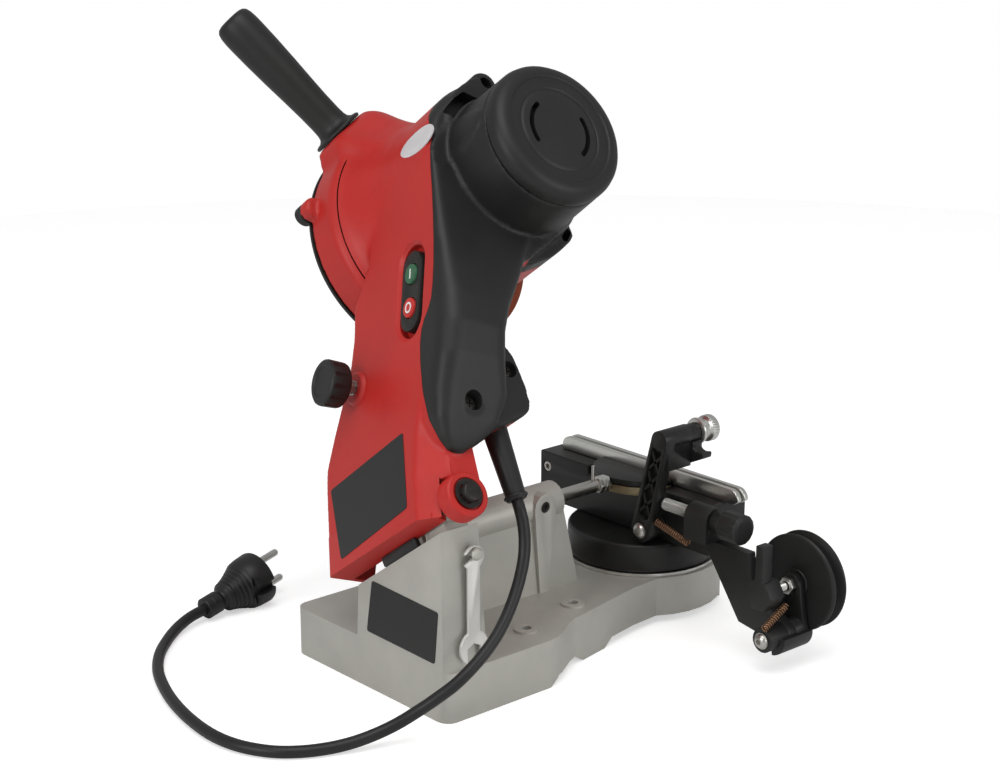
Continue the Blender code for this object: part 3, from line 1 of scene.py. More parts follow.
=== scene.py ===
# Looks of the bench chainsaw sharpener. Sizes in millimetres until a mesh is made.
import json
import math
import bmesh
import bpy
import numpy as np
from mathutils import Matrix, Vector


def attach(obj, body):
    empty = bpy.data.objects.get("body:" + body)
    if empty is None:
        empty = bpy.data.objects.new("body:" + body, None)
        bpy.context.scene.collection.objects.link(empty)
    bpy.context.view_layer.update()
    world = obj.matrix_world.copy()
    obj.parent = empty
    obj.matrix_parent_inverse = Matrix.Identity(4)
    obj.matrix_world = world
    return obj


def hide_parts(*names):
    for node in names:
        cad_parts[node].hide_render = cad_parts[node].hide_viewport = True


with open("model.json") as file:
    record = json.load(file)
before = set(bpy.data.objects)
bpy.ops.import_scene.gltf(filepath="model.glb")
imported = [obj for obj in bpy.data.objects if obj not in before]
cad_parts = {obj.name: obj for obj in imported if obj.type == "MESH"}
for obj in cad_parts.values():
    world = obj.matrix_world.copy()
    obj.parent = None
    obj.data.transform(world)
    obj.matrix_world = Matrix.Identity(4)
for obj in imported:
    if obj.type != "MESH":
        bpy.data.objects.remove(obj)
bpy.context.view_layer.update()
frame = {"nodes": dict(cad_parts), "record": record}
print("stage 1: frame loaded,", len(frame["nodes"]), "nodes")

# Camera as the photo was taken, floor and soft light
shot = dict(place=(-934.2, 861.1, 526.9), turn=228.6, down=15.9, lens=75.6, sensor=36, near=0.01)
scene = bpy.context.scene
scene.view_settings.view_transform = "Standard"


def placed(name, data):
    made = bpy.data.objects.new(name, data)
    scene.collection.objects.link(made)
    return made


def setCamera():
    turn, down = math.radians(shot["turn"]), math.radians(shot["down"])
    right = Vector((math.cos(turn), math.sin(turn), 0))
    back = Vector((right.y, -right.x, 0)) * math.cos(down) + Vector((0, 0, math.sin(down)))
    data = bpy.data.cameras.new("photoCamera")
    data.lens, data.sensor_width, data.clip_start = shot["lens"], shot["sensor"], shot["near"]
    scene.camera = placed("photoCamera", data)
    scene.camera.matrix_world = Matrix((right, back.cross(right), back)).transposed().to_4x4()
    scene.camera.location = Vector(shot["place"]) / 1000


setCamera()

# Shape helpers. A frame is (origin, three rows of axes); points go in as millimetres along those axes
tilt, lean = math.radians(35), math.radians(22)
hingeLine = np.array((-math.cos(tilt), 0, math.sin(tilt)))
riseLine = np.array((math.sin(tilt), 0, math.cos(tilt)))
headUp = riseLine * math.cos(lean) - np.array((0, 1, 0)) * math.sin(lean)
headOut = riseLine * math.sin(lean) + np.array((0, 1, 0)) * math.cos(lean)
hingePlace = np.array((0, 131, 86))
world = (np.zeros(3), np.eye(3))
towerFrame = (hingePlace, np.array((hingeLine, riseLine, (0, 1, 0))))
headFrame = (hingePlace, np.array((hingeLine, headUp, headOut)))
viseFrame = (np.array((0, -89, 0)), np.eye(3))
axisOrder = {"X": (0, 1, 2), "Y": (1, 0, 2), "Z": (2, 0, 1)}
motorAxis, depthSpot, hingeSpot = np.array((215, -40)), (13.5, 96), (0, 0)
weld = 0.002  # points nearer than this are one
smoothTurn = 32  # degrees between faces, up to which an edge is shaded smooth


# World points: origin plus each coordinate times its axis
def toWorld(points, base):
    return base[0] + np.asarray(points, float).reshape(-1, 3) @ base[1]


def shade(made, smoothDeg=smoothTurn):
    made.data.polygons.foreach_set("use_smooth", [True] * len(made.data.polygons))
    made.data.set_sharp_from_angle(angle=math.radians(smoothDeg))
    return made


# One object from world points in millimetres; doubles merged, faces turned outwards
def solid(name, points, faces, smoothDeg):
    data = bpy.data.meshes.new(name)
    data.from_pydata((np.asarray(points) / 1000).tolist(), [], [list(face) for face in faces])
    shape = bmesh.new()
    shape.from_mesh(data)
    bmesh.ops.remove_doubles(shape, verts=shape.verts, dist=weld / 1000)
    bmesh.ops.dissolve_degenerate(shape, edges=shape.edges, dist=weld / 2000)
    bmesh.ops.recalc_face_normals(shape, faces=shape.faces)
    if shape.calc_volume(signed=True) < 0:
        bmesh.ops.reverse_faces(shape, faces=shape.faces)
    shape.to_mesh(data)
    shape.free()
    return shade(placed(name, data), smoothDeg)


# Rings of equal point counts: quads between neighbours, a fan at each end
def skin(name, rings, base=headFrame, closed=False, smoothDeg=smoothTurn):
    rings = np.asarray(rings, float)
    rows, count = rings.shape[:2]
    points = toWorld(rings, base)
    last = rows if closed else rows - 1
    i, j = np.meshgrid(np.arange(last), np.arange(count), indexing="ij")
    after, nextRow = (j + 1) % count, (i + 1) % rows
    faces = np.stack((i * count + j, i * count + after, nextRow * count + after, nextRow * count + j),
                     -1).reshape(-1, 4).tolist()
    if not closed:
        middles = toWorld([rings[0].mean(0), rings[-1].mean(0)], base)
        points = np.vstack((points, middles))
        low, high, end = rows * count, rows * count + 1, (rows - 1) * count
        faces += [[(k + 1) % count, k, low] for k in range(count)]
        faces += [[end + k, end + (k + 1) % count, high] for k in range(count)]
    return solid(name, points, faces, smoothDeg)


# Corners of an outline eased: each becomes a quadratic curve between its two shortened sides
def rounded(outline, radius, steps=4):
    outline = np.asarray(outline, float)
    radius = np.broadcast_to(radius, len(outline))
    before, after = np.roll(outline, 1, 0), np.roll(outline, -1, 0)
    share = np.linspace(0, 1, steps + 1)[:, None]
    result = []
    for k, (spot, back, front) in enumerate(zip(outline, before, after)):
        if radius[k] <= 0:
            result.append(spot[None])
            continue
        toBack, toFront = back - spot, front - spot
        reach = min(radius[k], np.linalg.norm(toBack) * 0.49, np.linalg.norm(toFront) * 0.49)
        start = spot + toBack / np.linalg.norm(toBack) * reach
        stop = spot + toFront / np.linalg.norm(toFront) * reach
        result.append(start * (1 - share) ** 2 + 2 * spot * share * (1 - share) + stop * share ** 2)
    return np.vstack(result)


# Point or points on a circle: centre plus radius times the cosine and sine of the turn
def polar(centre, radius, turnDeg):
    turn = np.radians(turnDeg)
    return np.stack((centre[0] + radius * np.cos(turn), centre[1] + radius * np.sin(turn)), -1)


def arc(centre, radius, startDeg, stopDeg, steps):
    return polar(centre, radius, np.linspace(startDeg, stopDeg, steps + 1))


# Points of a flat outline set up at one place along an axis
def onAxis(axis, along, flat):
    flat = np.asarray(flat, float)
    points = np.zeros((len(flat), 3))
    order = axisOrder[axis]
    points[:, order[0]] = along
    points[:, order[1]], points[:, order[2]] = flat[:, 0], flat[:, 1]
    return points


# A flat outline carried along an axis
def slab(name, axis, outline, start, stop, base=headFrame, edge=0.0):
    made = skin(name, [onAxis(axis, start, outline), onAxis(axis, stop, outline)], base)
    return softened(made, edge) if edge else made


# A profile of (place along the axis, radius) turned round a line through centre
def turned(name, axis, centre, profile, base=headFrame, steps=64, closed=False, smoothDeg=smoothTurn):
    profile = np.asarray(profile, float)
    if not closed:
        profile = profile[profile[:, 1] > 0]
    angle = np.linspace(0, 2 * np.pi, steps, endpoint=False)
    flat = np.stack((np.cos(angle), np.sin(angle)), -1)
    rings = [onAxis(axis, along, np.asarray(centre) + flat * radius) for along, radius in profile]
    return skin(name, rings, base, closed, smoothDeg)


def box(name, low, high, base=headFrame):
    corners = [(low[0], low[1]), (high[0], low[1]), (high[0], high[1]), (low[0], high[1])]
    return slab(name, "Z", corners, low[2], high[2], base)


# Leaves the finished mesh of an object's modifiers in its place
def baked(made, smoothDeg=smoothTurn):
    view = bpy.context.evaluated_depsgraph_get()
    data = bpy.data.meshes.new_from_object(made.evaluated_get(view))
    made.modifiers.clear()
    made.data = data
    return shade(made, smoothDeg)


# Edges sharper than an angle rounded
def softened(made, width, segments=3, angleDeg=28):
    step = made.modifiers.new("edges", "BEVEL")
    step.width, step.segments = width / 1000, segments
    step.limit_method, step.angle_limit = "ANGLE", math.radians(angleDeg)
    step.use_clamp_overlap = True
    return baked(made)


def joined(target, tools, operation):
    for tool in tools:
        step = target.modifiers.new("join", "BOOLEAN")
        step.operation, step.object, step.solver = operation, tool, "MANIFOLD"
        baked(target)
        if len(target.data.polygons) < 4:
            raise RuntimeError(target.name + " was lost at " + tool.name)
        bpy.data.objects.remove(tool, do_unlink=True)
    return target


def fused(target, *tools):
    return joined(target, tools, "UNION")


def carved(target, *tools):
    return joined(target, tools, "DIFFERENCE")


# Corners melted together as on a moulding: voxel skin, then each point drawn to its neighbours' mean
def melted(made, voxel, rounds, smoothDeg=40):
    step = made.modifiers.new("voxel", "REMESH")
    step.mode, step.voxel_size = "VOXEL", voxel / 1000
    ease = made.modifiers.new("ease", "SMOOTH")
    ease.factor, ease.iterations = 0.5, rounds
    return baked(made, smoothDeg)


# A copy of a CAD node's mesh, merged, with its flat faces whole again and its edges rounded
def fromCad(name, node, edge, segments, angleDeg, flatDeg=1.0):
    made = placed(name, frame["nodes"][node].data.copy())
    made.data.materials.clear()
    shape = bmesh.new()
    shape.from_mesh(made.data)
    bmesh.ops.remove_doubles(shape, verts=shape.verts, dist=weld / 500)
    bmesh.ops.dissolve_limit(shape, angle_limit=math.radians(flatDeg), verts=shape.verts, edges=shape.edges)
    shape.to_mesh(made.data)
    shape.free()
    return softened(shade(made), edge, segments, angleDeg)


# Helix round a line: start plus reach along it plus a turning radius
def helix(start, stop, radius, turns, perTurn):
    start, stop = np.asarray(start, float), np.asarray(stop, float)
    along = (stop - start) / np.linalg.norm(stop - start)
    side = np.cross(along, (0.3, 0.5, 0.81))
    side /= np.linalg.norm(side)
    other = np.cross(along, side)
    share = np.linspace(0, 1, int(turns * perTurn) + 1)[:, None]
    angle = share * turns * 2 * np.pi
    return start + (stop - start) * share + (side * np.cos(angle) + other * np.sin(angle)) * radius


# Round tube on a path: rings square to the path, turned no more than the path turns
def tube(name, path, radius, base, sides, smoothDeg=50):
    path = np.asarray(path, float)
    ahead = np.gradient(path, axis=0)
    ahead /= np.linalg.norm(ahead, axis=1)[:, None]
    side = np.cross(ahead[0], (0.13, 0.31, 0.94))
    side /= np.linalg.norm(side)
    angle = np.linspace(0, 2 * np.pi, sides, endpoint=False)
    rings = []
    for spot, way in zip(path, ahead):
        side = side - way * (side @ way)
        side /= np.linalg.norm(side)
        other = np.cross(way, side)
        rings.append(spot + radius * (np.cos(angle)[:, None] * side + np.sin(angle)[:, None] * other))
    return skin(name, rings, base, smoothDeg=smoothDeg)


# Catmull-Rom curve through points: each span is a cubic of its four neighbours
def smoothPath(points, per):
    points = np.asarray(points, float)
    padded = np.vstack((2 * points[0] - points[1], points, 2 * points[-1] - points[-2]))
    t = np.linspace(0, 1, per, endpoint=False)[:, None]
    spans = []
    for a, b, c, d in zip(padded, padded[1:], padded[2:], padded[3:]):
        curve = (2 * b + (c - a) * t + (2 * a - 5 * b + 4 * c - d) * t ** 2
                 + (3 * b - a - 3 * c + d) * t ** 3)
        spans.append(0.5 * curve)
    return np.vstack(spans + [points[-1:]])


# Finishes: colour, roughness, metal, scale of the fine grain, depth of its bump, share by which a broad
# noise mottles the colour, and that noise's scale. The broad noise also spreads the roughness
finishes = {
    "castMetal": ((0.47, 0.46, 0.42), 0.47, 0.4, 1500, 0.3, 0.04, 55),
    "redPlastic": ((0.47, 0.02, 0.016), 0.42, 0, 2600, 0.07, 0.05, 30),
    "blackPlastic": ((0.0125, 0.0135, 0.0125), 0.46, 0, 2400, 0.16, 0.12, 45),
    "blackPaint": ((0.011, 0.0115, 0.011), 0.38, 0, 1300, 0.16, 0.12, 60),
    "softRubber": ((0.013, 0.013, 0.013), 0.42, 0, 3000, 0.05, 0.1, 60),
    "zincPlate": ((0.66, 0.66, 0.63), 0.3, 1.0, 900, 0.012, 0.025, 90),
    "turnedSteel": ((0.52, 0.51, 0.48), 0.3, 1.0, 900, 0.02, 0.04, 100),
    "stampedSteel": ((0.74, 0.73, 0.7), 0.44, 0.6, 700, 0.02, 0.04, 90),
    "darkSteel": ((0.028, 0.026, 0.024), 0.36, 0.5, 900, 0.08, 0.25, 180),
    "dullBrass": ((0.33, 0.27, 0.17), 0.4, 0.9, 700, 0.06, 0.2, 120),
    "copperWire": ((0.3, 0.17, 0.1), 0.34, 1.0, 600, 0.03, 0.2, 200),
    "grit": ((0.25, 0.06, 0.03), 0.92, 0, 1500, 0.7, 0.25, 900),
    "greenPlastic": ((0.035, 0.13, 0.065), 0.4, 0, 2400, 0.05, 0.06, 60),
    "redButton": ((0.55, 0.03, 0.025), 0.38, 0, 2400, 0.05, 0.06, 60),
    "whiteInk": ((0.78, 0.78, 0.76), 0.5, 0, 2400, 0.03, 0.04, 60),
    "labelFilm": ((0.013, 0.013, 0.013), 0.42, 0, 2000, 0.02, 0.08, 40),
    "paleSticker": ((0.62, 0.6, 0.61), 0.35, 0, 2000, 0.02, 0.05, 90),
    "windings": ((0.42, 0.16, 0.06), 0.35, 0.9, 900, 0.3, 0.2, 300),
}
finishRange = dict(sheen=0.36, spread=0.03, bump=0.0003, low=0.3, high=0.7, broadDetail=4, fineDetail=2)


# Sets a shader node's inputs, by name or by number
def tuned(node, values):
    for name, value in values.items():
        node.inputs[name].default_value = value
    return node


def makeFinish(name, colour, rough, metal, grain, depth, mottle, broad):
    size = finishRange
    made = bpy.data.materials.new(name)
    made.use_nodes = True
    nodes, links = made.node_tree.nodes, made.node_tree.links
    shader = tuned(nodes["Principled BSDF"], {"Metallic": metal, "Specular IOR Level": size["sheen"]})
    place = nodes.new("ShaderNodeTexCoord").outputs["Object"]
    blotch = tuned(nodes.new("ShaderNodeTexNoise"), {"Scale": broad, "Detail": size["broadDetail"]})
    fine = tuned(nodes.new("ShaderNodeTexNoise"), {"Scale": grain, "Detail": size["fineDetail"]})
    links.new(place, blotch.inputs["Vector"])
    links.new(place, fine.inputs["Vector"])
    ramp = nodes.new("ShaderNodeValToRGB")
    for stop, where, sign in zip(ramp.color_ramp.elements, (size["low"], size["high"]), (-1, 1)):
        stop.position = where
        stop.color = (*[min(1, c * (1 + sign * mottle)) for c in colour], 1)
    links.new(blotch.outputs["Fac"], ramp.inputs["Fac"])
    links.new(ramp.outputs["Color"], shader.inputs["Base Color"])
    spread = tuned(nodes.new("ShaderNodeMapRange"), {"To Min": rough - size["spread"],
                                                     "To Max": rough + size["spread"]})
    links.new(blotch.outputs["Fac"], spread.inputs["Value"])
    links.new(spread.outputs["Result"], shader.inputs["Roughness"])
    bump = tuned(nodes.new("ShaderNodeBump"), {"Strength": depth, "Distance": size["bump"]})
    links.new(fine.outputs["Fac"], bump.inputs["Height"])
    links.new(bump.outputs["Normal"], shader.inputs["Normal"])
    return made


looks = {name: makeFinish(name, *sizes) for name, sizes in finishes.items()}
slotLooks = {
    "cast_aluminium": "castMetal", "zinc": "zincPlate", "steel": "turnedSteel", "dark_steel": "darkSteel",
    "brass": "dullBrass", "spring_steel": "copperWire", "red_plastic": "redPlastic",
    "black_plastic": "blackPlastic", "black_paint": "blackPaint", "rubber": "softRubber", "abrasive": "grit",
    "green_button": "greenPlastic", "red_button": "redButton", "copper_winding": "windings",
}
slotOf = {part["node"]: part["material_slot"] for part in frame["record"]["subparts"]}
bodyOf = {node: body for body, nodes in frame["record"]["behaviour"]["bodies"].items() for node in nodes}
for node, made in frame["nodes"].items():
    for place in made.material_slots:
        place.material = looks[slotLooks[slotOf[node]]]
print("stage 2: finishes made")


# Pale floor that runs far out, white backdrop for the camera, three soft lamps: place, aim, size, power
stageSizes = dict(reach=1500, foot=-2, top=-0.05, grey=0.8, rough=0.9, sheen=0.1, glow=0.52, room=0.42)
lamps = {
    "overLamp": ((-0.5, 0.5, 1.9), (0, 0, 0.1), 1.5, 15.5),
    "leftLamp": ((-0.2, 2.2, 0.9), (0, 0, 0.15), 1.2, 15),
    "rightLamp": ((-2.2, -0.6, 0.8), (0, 0, 0.15), 1.1, 11),
}


# 1 for rays that the camera sends out, also through clear pieces
def cameraRays(nodes, links):
    rays, most = nodes.new("ShaderNodeLightPath"), nodes.new("ShaderNodeMath")
    most.operation = "MAXIMUM"
    links.new(rays.outputs["Is Camera Ray"], most.inputs[0])
    links.new(rays.outputs["Is Transmission Ray"], most.inputs[1])
    return most.outputs[0]


def makeStage():
    size = stageSizes
    floorMaterial = bpy.data.materials.new("paleFloor")
    floorMaterial.use_nodes = True
    nodes, links = floorMaterial.node_tree.nodes, floorMaterial.node_tree.links
    shader = tuned(nodes["Principled BSDF"], {
        "Base Color": (size["grey"], size["grey"], size["grey"], 1), "Roughness": size["rough"],
        "Specular IOR Level": size["sheen"], "Emission Color": (1, 1, 1, 1)})
    lift = tuned(nodes.new("ShaderNodeMath"), {1: size["glow"]})
    lift.operation = "MULTIPLY"
    links.new(cameraRays(nodes, links), lift.inputs[0])
    links.new(lift.outputs[0], shader.inputs["Emission Strength"])
    floor = slab("paleFloorSheet", "Z", arc((0, 0), size["reach"], 0, 357, 119), size["foot"], size["top"],
                 world)
    floor.data.materials.append(floorMaterial)
    scene.world = bpy.data.worlds.new("softRoom")
    scene.world.use_nodes = True
    nodes, links = scene.world.node_tree.nodes, scene.world.node_tree.links
    background = tuned(nodes["Background"], {"Color": (1, 1, 1, 1)})
    level = tuned(nodes.new("ShaderNodeMapRange"), {"To Min": size["room"], "To Max": 1})
    links.new(cameraRays(nodes, links), level.inputs["Value"])
    links.new(level.outputs["Result"], background.inputs["Strength"])
    for name, (place, aim, wide, power) in lamps.items():
        data = bpy.data.lights.new(name, "AREA")
        data.shape, data.size, data.energy = "DISK", wide, power
        lamp = placed(name, data)
        lamp.location = Vector(place)
        lamp.rotation_euler = (Vector(aim) - Vector(place)).to_track_quat("-Z", "Y").to_euler()


makeStage()


# Gives a piece its finish and body, and says which CAD nodes it stands for
def dress(made, look, body, slot, *nodes):
    made.data.materials.clear()
    made.data.materials.append(looks[look])
    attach(made, body)
    if nodes:
        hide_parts(*nodes)
    return made


# The same for the piece that stands for one node, on the node's own body
def suit(made, look, node):
    return dress(made, look, bodyOf[node], slotOf[node], node)


# Cord as it lies in the photo, in the source's own points
cordSizes = dict(radius=3.6, length=0.474, exit=(-70.4, 86.3, 125.0))
cordRoute = (
    (-70.4, 86.3, 125), (-73.9, 87, 119.8), (-77, 87.3, 112), (-79.7, 88.6, 102), (-82.2, 91.8, 92),
    (-85.2, 98.5, 80), (-89, 108.6, 68), (-92.4, 121.3, 56.5), (-94.2, 136.5, 46.2), (-92.6, 151.5, 36),
    (-87, 162.5, 27.5), (-80.4, 171, 20), (-74.8, 180.2, 13.8), (-69.8, 191, 9.2), (-64.8, 204, 6),
    (-58.8, 217, 4.2), (-51.3, 231.5, 3.9), (-40, 244.2, 3.9), (-22.6, 253.4, 3.9), (-2.4, 257, 3.9),
    (20.8, 255.6, 3.9), (46, 250.8, 3.9), (70.4, 243.2, 3.9), (95.9, 232, 3.9), (117.4, 217.5, 3.9),
    (134.4, 200.8, 3.9), (145.5, 186, 4.8), (151.5, 172.5, 6.5), (153.5, 160, 8.2))
cordPath = smoothPath(cordRoute, 8)
powerCord = suit(tube("powerCordLead", cordPath, cordSizes["radius"], world, 24), "softRubber", "power_cord")
print("stage 3: cord laid")

# Plug: turned grip with ribs across it, a round face with two notches, two pins
plugSizes = dict(heading=-83, pitch=11, gap=0.3, tail=7.2, ribs=5, ribsFrom=17, ribPitch=2.9, ribLift=0.55,
                 ribLow=8.9, ribGrow=6.2, face=18, end=49, notchHalf=3.4, notchDeep=12.6, pinRadius=2.4,
                 pinApart=19, pinLength=19)


def plugFrame():
    turn = np.array(Matrix.Rotation(math.radians(plugSizes["heading"]), 3, "Z")
                    @ Matrix.Rotation(-math.radians(plugSizes["pitch"]), 3, "Y"))
    return np.array(cordRoute[-1]) + turn[:, 0] * plugSizes["gap"], turn.T


def makePlug():
    base, size = plugFrame(), plugSizes
    tail, face, end, reach = size["tail"], size["face"], size["end"], size["pinApart"] / 2
    grip = []
    for k in range(size["ribs"]):
        along = size["ribsFrom"] + k * size["ribPitch"]
        radius = size["ribLow"] + size["ribGrow"] * ((k + 1) / (size["ribs"] + 1)) ** 1.5
        grip += [(along, radius - 0.5), (along + 0.5, radius + size["ribLift"]),
                 (along + 1.5, radius + size["ribLift"] + 0.25), (along + 1.9, radius - 0.3)]
    sleeve = [(0, 6.6), (0.6, tail), (4.2, tail), (4.5, 6.9), (5.2, 6.9), (5.5, tail), (11.2, tail),
              (12.2, 6.5), (13.6, 5.9), (14.8, 6.4), (15.8, 8.2)]
    front = [(32, 15.6), (34.5, 16.9), (39, 17.6), (46.6, face), (47.9, 17.6), (48.8, 16.4), (end, 15.6)]
    body = turned("plugBody", "X", (0, 0), sleeve + grip + front, base, 72, smoothDeg=40)
    for side in (1, -1):
        near, far = sorted((side * size["notchDeep"], side * 40))
        notch = box("plugNotch", (30.5, near, -size["notchHalf"]), (53, far, size["notchHalf"]), base)
        wedge = slab("plugThumb", "Z", [(24, side * 22), (33.5, side * 12.4), (38, side * 22)], -12, 12, base)
        carved(body, wedge, notch)
    for side in (1, -1):
        room = size["pinRadius"] + size["gap"]
        carved(body, turned("pinHole", "X", (0, side * reach), [(39, room), (52, room)], base, 32))
    pieces = [suit(softened(body, 0.5, 2, 40), "softRubber", "plug_body")]
    for node, side in (("plug_pin_upper", 1), ("plug_pin_lower", -1)):
        radius, stop = size["pinRadius"], end + size["pinLength"]
        rim = [(39.8, radius), (stop - 2.2, radius), (stop - 1.2, radius * 0.88), (stop - 0.4, radius * 0.6),
               (stop, radius * 0.25)]
        pieces.append(suit(turned(node + "Pin", "X", (0, side * reach), rim, base, 32), "zincPlate", node))
    return pieces


plugPieces = makePlug()
print("stage 4: plug made")

# Grinding head. Sections go up the head: (height, left edge, depth over the spine, depth beside it)
headSizes = dict(face=21, seamGap=0.3, voxel=1.3, side=89.5, sideHigh=108, widenFrom=151, widenOver=19,
                 fold=16, foldHigh=3.5, foldFrom=28, foldOver=34, spineWidth=60, coverRoot=80)
columnSections = (
    (12, -30, 14.5, -2), (39.6, -30, -1.5, -10), (50, -29.6, -8, -33), (57, -28.5, -12.5, -41.5),
    (62, -26.2, -15.5, -46), (76, -17.6, -20.5, -42), (99, -2.4, -32.7, -35), (110, 4.8, -35.7, -37),
    (128, 11, -40, -42), (135, 12.2, -42, -44), (150, 14, -46, -49), (170, 33, -50, -54), (215, 42, -60, -62))
coverSections = (
    (27.5, 93.5, 8, -1, 3), (34, 97, 13.5, -12, 6), (45, 101.5, 18.5, -24, 9), (62, 107, 20.6, -29, 12),
    (80, 114.5, 21, -25, 14), (99, 119, 21, -24, 15), (116, 119.5, 21, -28, 14.5), (136, 118.2, 21, -36, 10),
    (152, 117, 21, -42, 8), (168, 116, 21, -48, 6), (185, 115.2, 21, -54, 4.5), (203, 114.4, 21, -60, 4))
flangePlate = (
    (40.9, -1), (43, -20), (50.5, -34), (56.5, -44.2), (60, -47.8), (65, -49), (75, -47), (86, -43.3),
    (95, -38.9), (101, -33.5), (108, -27), (112, -24), (112, -4))
seamLine = (
    (90.1, 22), (90.1, 36), (88.6, 50), (87.4, 66), (87.4, 84), (88.4, 94), (90.6, 101.5), (94.5, 107),
    (99.5, 111.5), (103.4, 117), (106, 126), (108.2, 138), (109.8, 152), (111, 168), (111.6, 185),
    (111.7, 217), (110, 228), (104, 243), (99, 256), (95, 268), (92, 300))


# Value that goes from first to last while height goes from start over a length
def between(first, last, height, start, over):
    return first + (last - first) * min(1, max(0, (height - start) / over))


def columnSolid():
    size, face, rings = headSizes, headSizes["face"], []
    for height, left, _, deep in columnSections:
        right = between(size["side"], size["sideHigh"], height, size["widenFrom"], size["widenOver"])
        fold = between(size["fold"], size["foldHigh"], height, size["foldFrom"], size["foldOver"])
        corners = [(left, face), (right - fold, face), (right, face - fold), (right, deep), (19, deep),
                   (left, 14 - height * 0.1)]
        rings.append(onAxis("Y", height, rounded(corners, (2.5, 3, 3, 4, 2, 1))))
    return skin("headSkin", rings)


def spineSolid():
    face, wide, rings = headSizes["face"], headSizes["spineWidth"], []
    for height, left, deep, _ in columnSections:
        corners = [(left, face), (wide, face), (wide, deep), (left, deep)]
        rings.append(onAxis("Y", height, rounded(corners, (2.5, 0, 0, 3))))
    return skin("spineSide", rings)


# The cover's sections: (height, outer edge, rear, depth, bend of the corner)
def coverSolid():
    root, rings = headSizes["coverRoot"], []
    for height, outer, rear, deep, bend in coverSections:
        corners = [(root, rear), (outer, rear), (outer - 1.5, deep), (root, deep)]
        rings.append(onAxis("Y", height, rounded(corners, (0, bend, bend * 0.7, 0), 7)))
    return skin("coverSide", rings)


# A boss along the motor axis: a rounded post with its middle at (up, out)
def postSolid(name, up, out, radius, start, stop, crown=1.5):
    profile = [(start, radius), (stop - crown, radius), (stop - crown * 0.3, radius - crown * 0.5),
               (stop, radius - crown)]
    return turned(name, "X", (up, out), profile, steps=36)


# Neck radius by direction: full towards the rear and top, less in front, eased between by 3s^2 - 2s^3.
# Under the handle it rises to the flat seat, whose reach is the seat's height over the cosine from its middle
handleSeat = {"turn": 50, "reach": 88.9, "low": 11, "lowFull": 33, "highFull": 53, "high": 63, "from": -35,
              "until": 150, "ease": 55}


def neckRing(along, rear, front, lift, steps=128):
    seat = handleSeat
    angle = np.linspace(seat["from"], seat["from"] + 360, steps, endpoint=False)
    share = np.clip((angle - seat["from"]) / seat["ease"], 0, 1)
    share = share * (1 - np.clip((angle - seat["until"]) / seat["ease"], 0, 1))
    radius = front + (rear - front) * share ** 2 * (3 - 2 * share)
    rise = np.clip((angle - seat["low"]) / (seat["lowFull"] - seat["low"]), 0, 1)
    rise = rise * np.clip((seat["high"] - angle) / (seat["high"] - seat["highFull"]), 0, 1)
    offMiddle = np.clip(angle, seat["lowFull"], seat["highFull"]) - seat["turn"]
    flat = seat["reach"] / np.cos(np.radians(offMiddle))
    radius = radius + (flat - radius) * lift * rise ** 2 * (3 - 2 * rise)
    return onAxis("X", along, polar(motorAxis, radius, angle))


neckSections = (
    (-2.7, 78, 78, 0.93), (-1.7, 79, 79, 1), (16, 79, 79, 1), (19.5, 79, 79, 0.97), (22, 78.3, 78.3, 0.92),
    (26.4, 74.2, 73, 0.8), (29, 72, 66, 0.68), (34, 69.4, 57, 0.46), (41, 66.6, 53.6, 0.22),
    (49, 64, 52, 0.06), (58, 62, 51, 0), (70, 61, 50.2, 0), (106, 61, 50, 0), (109, 60, 49.6, 0),
    (111.5, 57, 48.6, 0))
frontBoss = (
    (152, -40), (157, -56), (164.4, -69.5), (170, -76), (175.5, -81.5), (180, -85.8), (184.5, -87.6),
    (189.5, -85.8), (191.5, -81), (190, -70), (195, -50))
rimOutline = (
    (150, 21), (203, 21), (215, 20.4), (222, 17.6), (229, 10.5), (235.5, 7.2), (242, 6.4), (251, 4.6),
    (257, 1.5), (266, -6.8), (272.5, -14.5), (272, -23), (267, -30), (262, -52), (245, -76), (215, -87),
    (185, -78), (168, -62), (150, -42))


# Rounded tongue that lies on the barrel, from the rim along it
tongueSizes = dict(turns=(66, 101), start=104, reach=146, round=26, outer=48.3, inner=43, drop=0.9, rows=20,
                   columns=10)


def tongueSolid():
    size, rings = tongueSizes, []
    middle = (size["rows"] - 1) / 2
    for k, turn in enumerate(np.linspace(*size["turns"], size["rows"])):
        reach = size["reach"] - size["round"] * abs((k - middle) / middle) ** 2.6
        along = np.linspace(size["start"], reach, size["columns"])
        drop = size["drop"] * ((along - size["start"]) / (reach - size["start"])) ** 4
        outer = np.column_stack((along, polar(motorAxis, size["outer"] - drop, turn)))
        inner = np.column_stack((along, polar(motorAxis, np.full(len(along), size["inner"]), turn)))
        rings.append(np.vstack((outer, inner[::-1])))
    return skin("tongueSkin", rings)


# Half circles round two middles, joined
def capsule(first, second, radius, steps):
    first, second = np.array(first, float), np.array(second, float)
    turn = math.degrees(math.atan2(*(second - first)[::-1]))
    return np.vstack((arc(second, radius, turn - 90, turn + 90, steps),
                      arc(first, radius, turn + 90, turn + 270, steps)))


# Open side of the guard towards the chain
def wedgeOutline(inner):
    return np.vstack((arc(motorAxis, 130, -158, -92, 16), arc(motorAxis, inner, -92, -158, 16)))


